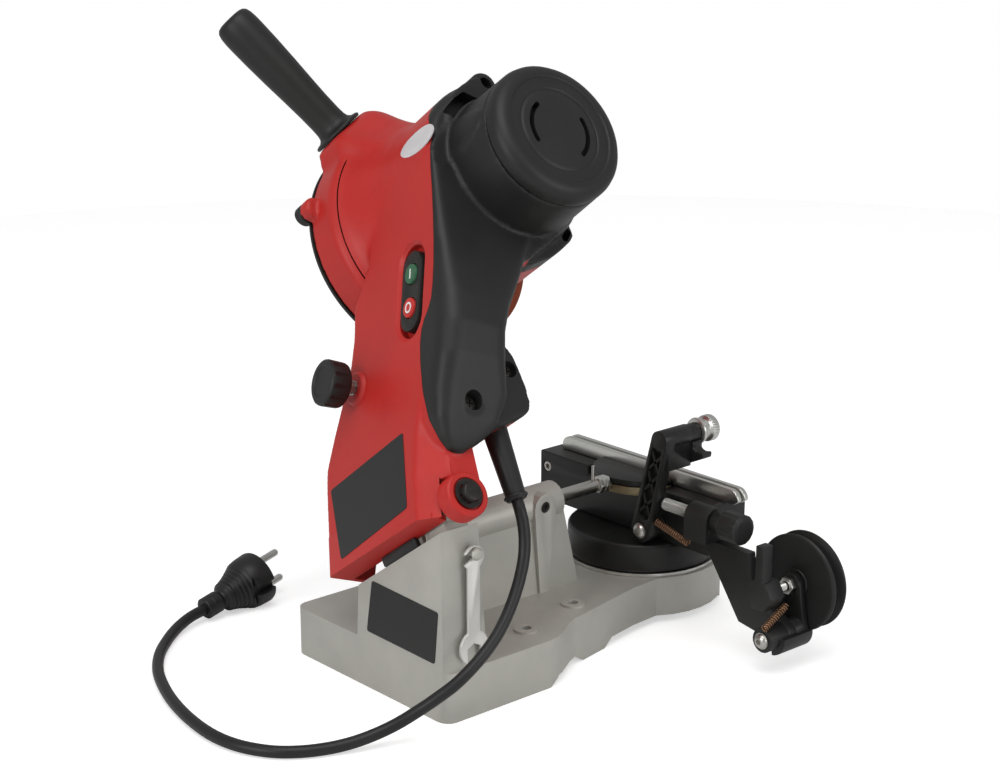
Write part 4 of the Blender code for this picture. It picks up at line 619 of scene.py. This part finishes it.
# Turned forms of the head: axis, middle, profile, steps
lowScrewSpot, frontScrewSpot, topScrewSpot = (55.2, -3), (84.6, -35.2), (271.5, -24)
headTurns = {
    "barrelTurn": ("X", motorAxis, ((95, 47), (114, 46.7), (149.7, 45.6)), 128),
    "earDrum": ("X", hingeSpot, ((85.5, 13.9), (94.4, 13.9), (95.8, 13.5), (96.5, 12.6)), 96),
    "depthBoss": ("Z", depthSpot, ((-20, 11.5), (19, 11.5), (20.6, 11.2), (22.4, 10), (23.2, 9)), 64),
    "earDish": ("X", hingeSpot, ((95.1, 9.7), (97.5, 10.3)), 64),
    "pinHole": ("X", hingeSpot, ((-40, 4.3), (100, 4.3)), 40),
    "screwHole": ("Z", depthSpot, ((-60, 4.8), (30, 4.8)), 40),
    "drumHollow": ("X", motorAxis, ((-8, 75.8), (25.3, 75.8)), 128),
    "motorHollow": ("X", motorAxis, ((28.6, 42), (152, 42)), 96),
    "shaftHole": ("X", motorAxis, ((20, 18.5), (32, 18.5)), 64),
    "postHole": ("X", topScrewSpot, ((104, 4), (110, 4.4), (116, 5)), 32),
    "lowRecess": ("X", lowScrewSpot, ((97.6, 5.2), (98.4, 5.6), (112, 6.4)), 40),
    "frontScrewHole": ("X", frontScrewSpot, ((91.5, 4.3), (92, 4.6), (97, 5.4)), 32),
}
# Flat forms across the motor axis: outline, start, stop
headPlates = {
    "endRim": (rounded(rimOutline, 3), 99, 113.4),
    "flangePlate": (flangePlate, 70, 96),
    "frontRidge": (rounded(frontBoss, 2, 3), 62, 103),
    "leftWall": (((-11, 19), (-11, -8.7), (6.5, -11.6), (43, -5.8), (43, 19)), -30, -26.5),
    "rightWall": (((0, 3), (0, -15.5), (43, -7.8), (43, 6), (16, 6)), 85.5, 89.4),
    "topRidge": (((255, -5), (279, -20), (275, -34), (250, -60)), 58, 104),
    "guardMouth": (wedgeOutline(58), -10, 36),
    "bossHole": (capsule((180, -80.3), (184.5, -82.6), 2.4, 10), 96, 108),
    "rimPocket": (np.vstack((arc(motorAxis, 56, 38, 62, 8), arc(motorAxis, 48.6, 62, 30, 8))), 105, 118),
}
headPosts = {
    "topPost": (*topScrewSpot, 8.8, 62, 111), "lowPost": (*lowScrewSpot, 7.4, 80, 104),
    "rimLug": (222, 40.8, 6.8, -2.7, 7, 1.6),
}
reliefLine = ((80, 58.5, -30.5), (80, 8.9, -44.6))
switchSizes = dict(turn=78, middle=(81.0, 131.5), half=14.5)
switchAlong = polar((0, 0), 1, switchSizes["turn"])


def switchOutline(radius, grow):
    middle, reach = np.array(switchSizes["middle"]), switchAlong * (switchSizes["half"] + grow)
    return capsule(middle - reach, middle + reach, radius, 18)


def headTurn(name):
    axis, centre, profile, steps = headTurns[name]
    return turned(name, axis, centre, profile, steps=steps)


def headPlate(name):
    outline, start, stop = headPlates[name]
    return slab(name, "X", outline, start, stop)


def makeHead():
    made = columnSolid()
    neck = skin("neckSkin", [neckRing(*place) for place in neckSections])
    fused(made, spineSolid(), coverSolid(), neck, headPlate("endRim"), headTurn("barrelTurn"), tongueSolid(),
          headPlate("flangePlate"), headPlate("frontRidge"), headPlate("topRidge"),
          *[postSolid(name, *sizes) for name, sizes in headPosts.items()])
    melted(made, headSizes["voxel"], 5)
    print("head skin:", len(made.data.polygons), "faces")
    return made


# Everything on the cover's side of the seam, moved over by half the gap
def seamPrism(name, shift):
    top, far, start = 300, 230, 22 + shift
    rear = [(a + shift, b) for a, b in seamLine] + [(far, top), (far, start)]
    front = [(89.7 + shift, start), (89.7 + shift, top), (far, top), (far, start)]
    return fused(slab(name, "Z", rear, -50, 80), slab(name + "Front", "Z", front, -140, -49.9))


# A frame whose first axis runs from one point of the head to another
def lineFrame(start, stop):
    first, last = toWorld([start], headFrame)[0], toWorld([stop], headFrame)[0]
    along = (last - first) / np.linalg.norm(last - first)
    side = np.cross(along, (0.21, 0.93, 0.3))
    side /= np.linalg.norm(side)
    return first, np.array((along, side, np.cross(along, side)))


def reliefRoom():
    return turned("reliefRoom", "X", (0, 0), [(-13, 8.1), (24, 8.1)], lineFrame(*reliefLine))


def makeShells():
    gap = headSizes["seamGap"] / 2
    red = makeHead()
    red.name = "redShell"
    black = placed("blackCover", red.data.copy())
    carved(red, seamPrism("seamRed", -gap))
    joined(black, [seamPrism("seamBlack", gap)], "INTERSECT")
    lip = rounded([(-30, 10.5), (84, 10.5), (73.5, 21), (-30, 21)], (0.8, 1, 2, 2.4))
    fused(red, slab("lipBar", "Y", lip, -11, 14), box("footWall", (-28, -11, 5.3), (80, -8, 15)),
          headPlate("leftWall"), headPlate("rightWall"), headTurn("earDrum"), headTurn("depthBoss"))
    low, high = onAxis("Z", 19.1, switchOutline(13.2, 1.2)), onAxis("Z", 21.6, switchOutline(16.2, 1.2))
    carved(red, headTurn("earDish"), headTurn("pinHole"), headTurn("screwHole"),
           slab("switchRecess", "Z", switchOutline(13.2, 1.2), 14.5, 19.2), skin("recessLip", [low, high]),
           slab("switchWell", "Z", switchOutline(10.8, 0), 8.7, 20), headTurn("drumHollow"),
           headTurn("motorHollow"), headTurn("shaftHole"), headPlate("guardMouth"),
           box("spineRoom", (-6, 43, -60), (18, 73, -12)), reliefRoom())
    carved(black, headTurn("motorHollow"), reliefRoom(), headTurn("lowRecess"), headTurn("postHole"),
           headPlate("bossHole"), headTurn("frontScrewHole"), headPlate("rimPocket"),
           box("barrelFlat", (116, 160, -62), (154, motorAxis[0] - 45.9, -18)))
    suit(red, "redPlastic", "head_shell")
    suit(black, "blackPlastic", "motor_cover")


makeShells()
print("stage 5: head shells made")

# Motor end cap: raised disc, groove round it, rounded shoulder, two curved vents; a flat along its foot
capProfile = (
    (150.2, 41), (150.2, 44.6), (150.9, 45.5), (151.6, 45.55), (155.5, 45.4), (158.2, 44.6), (160.4, 42.9),
    (161.8, 40.6), (162.4, 38.2), (162.5, 36.2), (162.2, 35.6), (161.5, 35.1), (161.4, 34), (161.4, 29),
    (161.2, 28.2), (160.8, 27.7), (160.9, 27), (161.4, 26.3), (161.7, 25.4), (161.75, 2))
ventArcs = ((48, 124), (-130, -56))


# Curved slot with round ends
def ventOutline(start, stop, inner=18.6, outer=21.8):
    middle, half = (inner + outer) / 2, (outer - inner) / 2
    first, last = polar(motorAxis, middle, start), polar(motorAxis, middle, stop)
    return np.vstack((arc(motorAxis, outer, start, stop, 24), arc(last, half, stop, stop + 180, 6)[1:-1],
                      arc(motorAxis, inner, stop, start, 24),
                      arc(first, half, start + 180, start + 360, 6)[1:-1]))


def makeCap():
    cap = turned("endCap", "X", motorAxis, capProfile, steps=128, smoothDeg=40)
    for start, stop in ventArcs:
        carved(cap, slab("vent", "X", ventOutline(start, stop), 156.5, 170))
    carved(cap, box("capFlat", (140, 150, -58), (156, motorAxis[0] - 45.1, -22)))
    fused(cap, turned("capLip", "X", motorAxis, [(149.2, 38), (149.2, 41.6), (150.6, 41.6), (150.6, 38)],
                      steps=96))
    suit(cap, "blackPlastic", "motor_end_cap")


makeCap()


# Cross-headed cover screws at the bottom of their recesses
def screwHead(name, spot, face, radius, node, slot=0.42):
    profile = [(face - 9, 1.9), (face - 2.2, 1.9), (face - 2.2, radius), (face - 0.7, radius),
               (face - 0.15, radius * 0.72), (face, radius * 0.3)]
    head = turned(name, "X", spot, profile, steps=32)
    for across, along in ((radius * 0.62, slot), (slot, radius * 0.62)):
        carved(head, box("crossCut", (face - 1.3, spot[0] - across, spot[1] - along),
                         (face + 1, spot[0] + across, spot[1] + along)))
    suit(head, "darkSteel", node)


screwHead("frontCoverScrew", frontScrewSpot, 93.4, 3.7, "cover_screw_front")
screwHead("lowCoverScrew", lowScrewSpot, 99.8, 4.2, "cover_screw_low")

# Guard cover: thin black dish with a turned rim and a round hub field; open towards the chain
coverRim = (
    (-10, 20), (-10, 62), (-9.4, 69), (-8, 75.4), (-6.4, 78.4), (-4.9, 79.4), (-3.1, 79.4), (-3.1, 76.2),
    (-5.4, 75.2), (-7, 71.8), (-7.8, 66), (-8, 60), (-8, 20))


def makeGuardCover():
    cover = turned("guardDish", "X", motorAxis, coverRim, steps=128, closed=True)
    fused(cover, turned("guardDisc", "X", motorAxis, [(-10, 24), (-8, 24)], steps=96))
    fused(cover, turned("guardHub", "X", motorAxis, [(-12.4, 8), (-12, 13), (-11, 15), (-9, 15.6)]))
    carved(cover, slab("guardGap", "X", wedgeOutline(40), -14, 0))
    fused(cover, *[postSolid("guardLug", up, out, size, -8.6, -3.1, 0.9)
                   for up, out, size in ((222, 40.8, 6.8), (252, -104, 5.2), (289, -15, 5.2))])
    suit(softened(cover, 0.4, 2, 40), "blackPlastic", "guard_cover")


makeGuardCover()

# Handle: flange, waist, plain tapering grip with a rounded end. Turned about its own line
handleFoot = (5, *polar(motorAxis, 90.5, 42))
handleWay = (0, *polar((0, 0), 1, 50))
handleProfile = (
    (-0.6, 9), (-0.6, 17.2), (-0.1, 17.9), (0.7, 18.1), (1.5, 17.8), (2.1, 16.6), (2.8, 13.8), (4.4, 12.1),
    (7, 11.4), (12, 11.15), (24, 11.3), (38, 11.9), (54, 12.7), (70, 13.3), (84, 13.55), (90, 13.5),
    (94.5, 13.1), (97.6, 12.2), (99.3, 10.6), (100, 8.6), (100.2, 5))


# A frame along a line of the head, square to the hinge line
def sideFrame(spot, way):
    along, side = np.array(way) @ headFrame[1], headFrame[1][0]
    return toWorld([spot], headFrame)[0], np.array((along, side, np.cross(along, side)))


def makeHandle():
    base = sideFrame(handleFoot, handleWay)
    grip = turned("handleGrip", "X", (0, 0), handleProfile, base, 72, smoothDeg=40)
    suit(grip, "blackPlastic", "handle")


makeHandle()

# Depth screw: turned thread, collar, fluted knob with a dished face
knobProfile = (
    (29.4, 5.2), (30.9, 5.4), (31.2, 9.6), (31.2, 12.6), (32, 13.6), (33.6, 14.2), (43, 14.5), (44.4, 14.1),
    (45.2, 13.1), (45.3, 10.4), (44.7, 9.6), (44.5, 2))


# Thread as one ridge wound up a core, its foot sunk into the core by sink
def makeThread(name, centre, radius, start, stop, base, axis, steps=28, deep=0.6, pitch=1.25, sink=0.5):
    rows = int((stop - start) / pitch * steps)
    root = radius - deep
    profile = ((0, root), (pitch * 0.4, radius), (pitch * 0.6, radius), (pitch, root),
               (pitch * 0.99, root - sink), (0.01, root - sink))
    rings = []
    for k in range(rows + 1):
        along, turn = start + (stop - start) * k / rows, 360 * k / steps
        rings.append([onAxis(axis, along + step, [polar(centre, reach, turn)])[0] for step, reach in profile])
    return skin(name, rings, base, smoothDeg=45)


def makeDepthStop():
    suit(turned("depthCore", "Z", depthSpot, [(-25, 3.2), (-24, 4), (29.6, 4)], steps=32), "turnedSteel",
         "depth_screw")
    suit(makeThread("depthThread", depthSpot, 4.5, 17, 28.2, headFrame, "Z"), "turnedSteel", "depth_screw")
    knob = turned("depthGrip", "Z", depthSpot, knobProfile, steps=96, smoothDeg=38)
    for k in range(12):
        flute = turned("flute", "Z", polar(depthSpot, 16.1, 30 * k), [(26, 2.3), (42.6, 2.3), (44, 1.6)],
                       steps=16)
        carved(knob, flute)
    suit(softened(knob, 0.35, 2, 40), "blackPlastic", "depth_knob")


makeDepthStop()
print("stage 6: cap, handle, stop screw made")

# Cast base, plain parts and fasteners: the solids' own forms with their edges rounded. Each row has its node,
# name, edge, bevel steps, finish and, for the casting, the least angle of an edge that is rounded
plainParts = (
    ("base_casting", "castBase", 1.6, 3, "castMetal", 24), ("table_disc", "tableDisc", 1.0, 3, "blackPaint"),
    ("vise_block", "viseBlock", 0.7, 3, "blackPaint"), ("end_block", "endBlock", 0.8, 3, "blackPlastic"),
    ("roller_arm", "rollerArmPlate", 0.7, 3, "blackPaint"),
    ("roller_lever", "rollerLever", 0.8, 3, "blackPaint"), ("stop_lever", "stopLever", 0.5, 2, "blackPaint"),
    ("wing_knob", "wingKnob", 0.6, 3, "blackPlastic"), ("clamp_plate", "clampPlate", 0.4, 2, "blackPaint"),
    ("clamp_ring", "clampRing", 0.5, 2, "dullBrass"), ("wrench", "openWrench", 0.4, 2, "stampedSteel"),
    ("front_rail", "frontRail", 0.5, 3, "zincPlate"), ("rear_rail", "rearRail", 0.5, 3, "zincPlate"),
    ("switch_plate", "switchPlate", 0.5, 2, "blackPlastic"),
    ("rest_bumper", "restBumper", 0.8, 2, "softRubber"), ("push_rod", "pushRodBody", 0.3, 2, "turnedSteel"),
    ("push_rod_bolt", "pushRodBolt", 0.35, 2, "zincPlate"),
    ("push_rod_nut", "pushRodNut", 0.35, 2, "zincPlate"),
    ("block_screw", "blockScrew", 0.25, 2, "turnedSteel"),
    ("rod_set_screw", "rodSetScrew", 0.25, 2, "darkSteel"), ("roller_nut", "rollerNut", 0.35, 2, "zincPlate"),
    ("wrench_peg", "wrenchPeg", 0.5, 2, "castMetal"))


def makePlain(node, name, edge, segments, look, angleDeg=30):
    suit(fromCad(name, node, edge, segments, angleDeg), look, node)


for part in plainParts:
    makePlain(*part)
print("stage 7: base and plain parts made")

# Marks, labels and small parts of the head. Labels stay bare
markSizes = dict(film=0.25, filmSunk=0.1, wall=144, buttonRadius=6.1, buttonFoot=17, buttonFace=21.9,
                 buttonPlace=10.5, ink=0.02, sunk=0.5)
ratingOutline = ((-23, 43), (64, 47), (64, 0), (-14, -5))
safetyOutline = ((-5.5, 70.8), (-67.2, 68.8), (-63.7, 35.7), (0.2, 36.9))
stickerSizes = dict(along=97.3, turn=79.7, halfAlong=19.5, halfTurn=8.2, slant=0.25, radius=61, sunk=0.4)


# Round push button with an eased rim and a shallow dish, and its mark let in as flat ink
def makeButtons():
    size, face, radius = markSizes, markSizes["buttonFace"], markSizes["buttonRadius"]
    low, high = face - size["sunk"], face + size["ink"]
    across = np.array((switchAlong[1], -switchAlong[0]))
    for node, sign, look in (("start_button", 1, "greenPlastic"), ("stop_button", -1, "redButton")):
        spot = np.array(switchSizes["middle"]) + switchAlong * size["buttonPlace"] * sign
        profile = [(size["buttonFoot"], radius), (face - 0.7, radius), (face - 0.2, radius - 0.25),
                   (face, radius - 0.8), (face - 0.15, radius - 2), (face - 0.3, 0.5)]
        suit(turned(node + "Cap", "Z", spot, profile, steps=56, smoothDeg=40), look, node)
        if sign > 0:
            bar = ((-0.55, -3), (0.55, -3), (0.55, 3), (-0.55, 3))
            mark = slab("onMark", "Z", [spot + across * x + switchAlong * y for x, y in bar], low, high)
        else:
            mark = turned("offMark", "Z", spot, [(low, 2.3), (high, 2.3), (high, 3.4), (low, 3.4)],
                          steps=40, closed=True)
        dress(mark, "whiteInk", node, slotOf[node])


# Bare film on the label face and on the cast rear face
def makeLabels():
    film, sunk, face, wall = markSizes["film"], markSizes["filmSunk"], headSizes["face"], markSizes["wall"]
    rating = slab("ratingFilm", "Z", rounded(ratingOutline, 2.2, 5), face - sunk, face + film)
    dress(rating, "labelFilm", "head", "black_plastic")
    safety = slab("safetyFilm", "Y", rounded(safetyOutline, 2.0, 5), wall - sunk, wall + film, world)
    dress(safety, "labelFilm", "base", "black_plastic")


# Oval sticker bent round the barrel: (along the axis, turn) run over an ellipse, inner and outer skin
def makeSticker():
    size, film = stickerSizes, markSizes["film"]
    turn = np.linspace(0, 2 * np.pi, 72, endpoint=False)
    rings = []
    for share in (0.001, 0.35, 0.7, 0.92, 1.0):
        along = size["along"] + size["halfAlong"] * share * np.cos(turn)
        angle = size["turn"] + size["halfTurn"] * share * (np.sin(turn) + size["slant"] * np.cos(turn))
        rings.append(np.column_stack((along, polar(motorAxis, size["radius"] + film, angle))))
    low = rings[-1].copy()
    inwards = (low[:, 1:] - motorAxis) * (size["radius"] - size["sunk"])
    low[:, 1:] = motorAxis + inwards / (size["radius"] + film)
    back = [low + (low.mean(0) - low) * share for share in (0.0, 0.35, 0.7, 0.999)]
    sticker = skin("ovalSticker", rings + back, smoothDeg=40)
    dress(sticker, "paleSticker", "head", "black_plastic")


# Strain relief: smooth tapering sleeve with a collar at its mouth
def makeStrainRelief():
    top, foot = np.array(reliefLine)
    reach = np.linalg.norm(foot - top)
    ends = [(3.4, 6.2), (3.1, 6.6), (2.8, 7.2), (2.2, 7.35), (1.6, 7.2), (1.3, 6.5), (0.7, 6.3), (0.2, 6.0),
            (0, 5.6), (0, 3.65), (6, 3.62)]
    profile = [(-11, 7.4), (0, 7.8)] + [(reach - back, radius) for back, radius in ends]
    base = sideFrame(top, (foot - top) / reach)
    suit(turned("reliefSleeve", "X", (0, 0), profile, base, 40, smoothDeg=40), "softRubber", "strain_relief")


# Grinding wheel with its bore and eased rim
wheelSizes = dict(low=9.9, high=13.1, radius=72.5, bore=5.8, eased=0.6)


def makeWheel():
    low, high, radius, bore, eased = wheelSizes.values()
    profile = [(low, bore), (low, radius - eased), (low + eased, radius), (high - eased, radius),
               (high, radius - eased), (high, bore)]
    wheel = turned("gritWheel", "X", motorAxis, profile, steps=160, closed=True, smoothDeg=40)
    suit(wheel, "grit", "grinding_wheel")


# Hinge pin: round head with an eased crown; star ring with teeth turned in to the shank
pinProfile = (
    (-29, 3.4), (-28.4, 4), (97.3, 4), (97.4, 5), (97.5, 5.6), (101.2, 5.6), (101.6, 5.3), (101.8, 4.7),
    (101.8, 1))
toothShape = ((4.2, -14), (4.2, 14), (6.6, 24), (6.6, 36))  # radius and turn of each corner


def makeHinge():
    pin = turned("hingePinBody", "X", hingeSpot, pinProfile, towerFrame, 48, smoothDeg=40)
    suit(pin, "darkSteel", "hinge_pin")
    ring = slab("starRing", "X", arc(hingeSpot, 9, 0, 357, 119), 96.75, 97.25, towerFrame)
    teeth = [polar(hingeSpot, radius, 60 * k + turn) for k in range(6) for radius, turn in toothShape]
    suit(carved(ring, slab("starBore", "X", teeth, 95, 99, towerFrame)), "darkSteel", "hinge_pin_ring")


makeButtons()
makeLabels()
makeSticker()
makeStrainRelief()
makeWheel()
makeHinge()
print("stage 8: marks, sleeve, wheel, hinge made")

# Vise: ribs, screws, springs, knobs and the chain roller. Flat outlines across Y are (left-right, up)
viseSizes = dict(leverRear=34, leverRib=1.8, ribDeep=3.5, wire=0.4, rollerRadius=31, rollerHalf=6.2,
                 grooveFloor=22.5)
leverFoot, leverHead = np.array((-32.5, 62.0)), np.array((-47.5, 126.0))
rollerPivot, rollerAxis = (-146, 23), (-141, 50.6)


# Body of turning with ripples: radius plus ripple times a cosine of count turns
def ribbed(name, axis, centre, profile, count):
    angle = np.linspace(0, 360, count * 6, endpoint=False)
    ripples = np.cos(np.radians(angle) * count)
    rings = [onAxis(axis, along, polar(centre, radius + ripple * ripples, angle))
             for along, radius, ripple in profile]
    return skin(name, rings, viseFrame, smoothDeg=50)


# Crossed ribs in the lever's recess, between its two long sides
def makeLeverRibs():
    along = (leverHead - leverFoot) / np.linalg.norm(leverHead - leverFoot)
    across = np.array((-along[1], along[0]))
    rear, half = viseSizes["leverRear"], viseSizes["leverRib"] / 2
    spots = [leverFoot + along * place for place in (11, 27, 43, 57)]
    widths = (5.6, 5.3, 5.0, 4.8)
    for k, (low, high) in enumerate(zip(spots, spots[1:])):
        for side in (-1, 1):
            start, stop = low + across * widths[k] * side, high - across * widths[k + 1] * side
            way = (stop - start) / np.linalg.norm(stop - start)
            out = np.array((-way[1], way[0])) * half
            rib = slab("leverRib.%d.%d" % (k, side + 1), "Y",
                       [start + out, stop + out, stop - out, start - out],
                       rear - viseSizes["ribDeep"] - 0.3, rear - 0.6, viseFrame)
            dress(rib, "blackPaint", "stop_arm", slotOf["stop_lever"])


# Pawl on the lever's boss: round hub, straight inner side, hooked tail that points outwards
def makePawl():
    corners = ((-54.1, 121.5), (-53.4, 116.6), (-57.6, 114.9), (-62.4, 116.2), (-62.2, 112.4),
               (-56.4, 109.6), (-48, 105.6), (-40.4, 102.6), (-39.4, 112), (-41.4, 122.5))
    pawl = slab("stopPawlHook", "Y", rounded(corners, (2, 3, 3, 1.6, 1.6, 3, 3, 1.6, 4, 2), 5), 0.75, 9.15,
                viseFrame, 0.4)
    fused(pawl, turned("pawlHub", "Y", leverHead, [(0.75, 5.5), (1.2, 6), (8.7, 6), (9.15, 5.5)], viseFrame,
                       48))
    carved(pawl, turned("pawlBore", "Y", leverHead, [(-2, 2.75), (12, 2.75)], viseFrame, 32))
    suit(pawl, "blackPaint", "stop_pawl")


# Button-head screw with a hex socket and a washer under it
def makePivotScrew(node, name, centre, start, seat):
    profile = [(start, 2.6), (start + 0.4, 3), (seat, 3), (seat, 5.2), (seat + 0.7, 5.2),
               (seat + 0.72, 4.7), (seat + 1.5, 4.55), (seat + 2.4, 3.9), (seat + 3.0, 2.9),
               (seat + 3.2, 2.2)]
    screw = turned(name, "Y", centre, profile, viseFrame, 48, smoothDeg=40)
    hexagon = arc(centre, 1.9, 0, 300, 5)
    carved(screw, slab(name + "Socket", "Y", hexagon, seat + 1.2, seat + 5, viseFrame))
    suit(screw, "turnedSteel", node)


def makeSprings():
    wire = viseSizes["wire"]
    coils = (
        ("stop_spring", "stopCoil", (-44.2, 31.4, 70.8), (-73.2, 31.4, 63.8), 2.2, 18, viseFrame, wire),
        ("roller_spring", "rollerCoil", (-149, 43.9, 31.9), (-149.5, 24.6, 42.6), 2.1, 13, viseFrame, wire),
        ("return_spring", "returnCoil", (32.6, 0, 0), (49.4, 0, 0), 5.4, 7, towerFrame, 1.1))
    for node, name, start, stop, radius, turns, base, thick in coils:
        suit(tube(name, helix(start, stop, radius, turns, 22), thick, base, 10), "copperWire", node)


# Screw through the end block, with its knob: collar, ribbed grip and a flat crown
def makeAdjuster():
    centre = (26.8, 82.5)
    core = turned("adjusterCore", "X", centre, [(-98.7, 3.0), (-98.2, 3.5), (-46.8, 3.5), (-46.3, 3.0)],
                  viseFrame, 32)
    suit(core, "zincPlate", "stop_screw")
    thread = makeThread("adjusterThread", centre, 4.0, -71.5, -48, viseFrame, "X", 24, 0.55)
    dress(thread, "zincPlate", "stop_screw", slotOf["stop_screw"])
    profile = [(-116, 6.5, 0), (-115.7, 8.4, 0), (-114.9, 9.4, 0.1), (-113.8, 9.65, 0.2),
               (-101.5, 9.65, 0.2), (-99.9, 9.4, 0.1), (-99.2, 8.4, 0), (-99.0, 7.3, 0), (-98.6, 7.1, 0),
               (-92.2, 7.1, 0), (-91.8, 6.8, 0), (-91.6, 6.2, 0)]
    suit(ribbed("adjusterGrip", "X", centre, profile, 14), "blackPlastic", "adjusting_knob")


# Spool nut: stud, near flange, waist and a knurled far rim
def makeThumbNut():
    profile = [(23.5, 2.1, 0), (23.1, 2.5, 0), (0.45, 2.5, 0), (0.4, 7.4, 0), (0.0, 8.4, 0), (-1.0, 8.7, 0),
               (-2.2, 8.4, 0), (-3.0, 7.2, 0), (-3.4, 6.6, 0), (-7.2, 6.6, 0), (-7.8, 7.4, 0),
               (-8.3, 8.45, 0), (-8.7, 8.55, 0.2), (-13.2, 8.55, 0.2), (-13.6, 8.4, 0.05), (-14.1, 7.7, 0),
               (-14.1, 4.2, 0), (-13.5, 3.4, 0), (-13.5, 0.6, 0)]
    suit(ribbed("spoolNut", "Y", leverHead, profile, 30), "zincPlate", "thumb_nut")


# Chain roller: two cones with a rounded floor between, shallow recess and hub ring on each side
def makeRoller():
    half, radius, floor = viseSizes["rollerHalf"], viseSizes["rollerRadius"], viseSizes["grooveFloor"]
    side = [(half, 3.25), (half, 8.2), (half - 0.5, 8.7), (half - 0.5, 9.6), (half - 0.2, 10.2),
            (half - 0.2, 27.4), (half, 28), (half, 29.4), (half - 0.35, 30.4), (half - 1.2, radius),
            (half - 2.1, 30.7), (1.6, 23.2), (0.8, floor)]
    profile = side + [(-along, size) for along, size in reversed(side)]
    roller = turned("rollerBody", "Y", rollerAxis, profile, viseFrame, 112, closed=True, smoothDeg=34)
    suit(roller, "blackPlastic", "chain_roller")


# Bolt through the roller, its thread seen between the nut and the wing knob
def makeRollerBolt():
    profile = [(-10.5, 1.2), (-10.3, 3.6), (-9.6, 4.7), (-8.4, 5.2), (-6.5, 5.2), (-6.5, 2.5), (34.1, 2.5),
               (34.5, 2.1)]
    bolt = turned("rollerShank", "Y", rollerAxis, profile, viseFrame, 40, smoothDeg=40)
    suit(bolt, "zincPlate", "roller_bolt")
    thread = makeThread("rollerThread", rollerAxis, 2.9, 16.3, 33.6, viseFrame, "Y", 22, 0.45)
    dress(thread, "zincPlate", "roller_arm", slotOf["roller_bolt"])


makeLeverRibs()
makePawl()
makePivotScrew("stop_pivot_screw", "stopPivot", leverFoot, 10, 34.3)
makePivotScrew("roller_pivot_screw", "rollerPivotScrew", rollerPivot, 7.5, 41.8)
makeSprings()
makeAdjuster()
makeThumbNut()
makeRoller()
makeRollerBolt()
print("stage 9: vise pieces made")
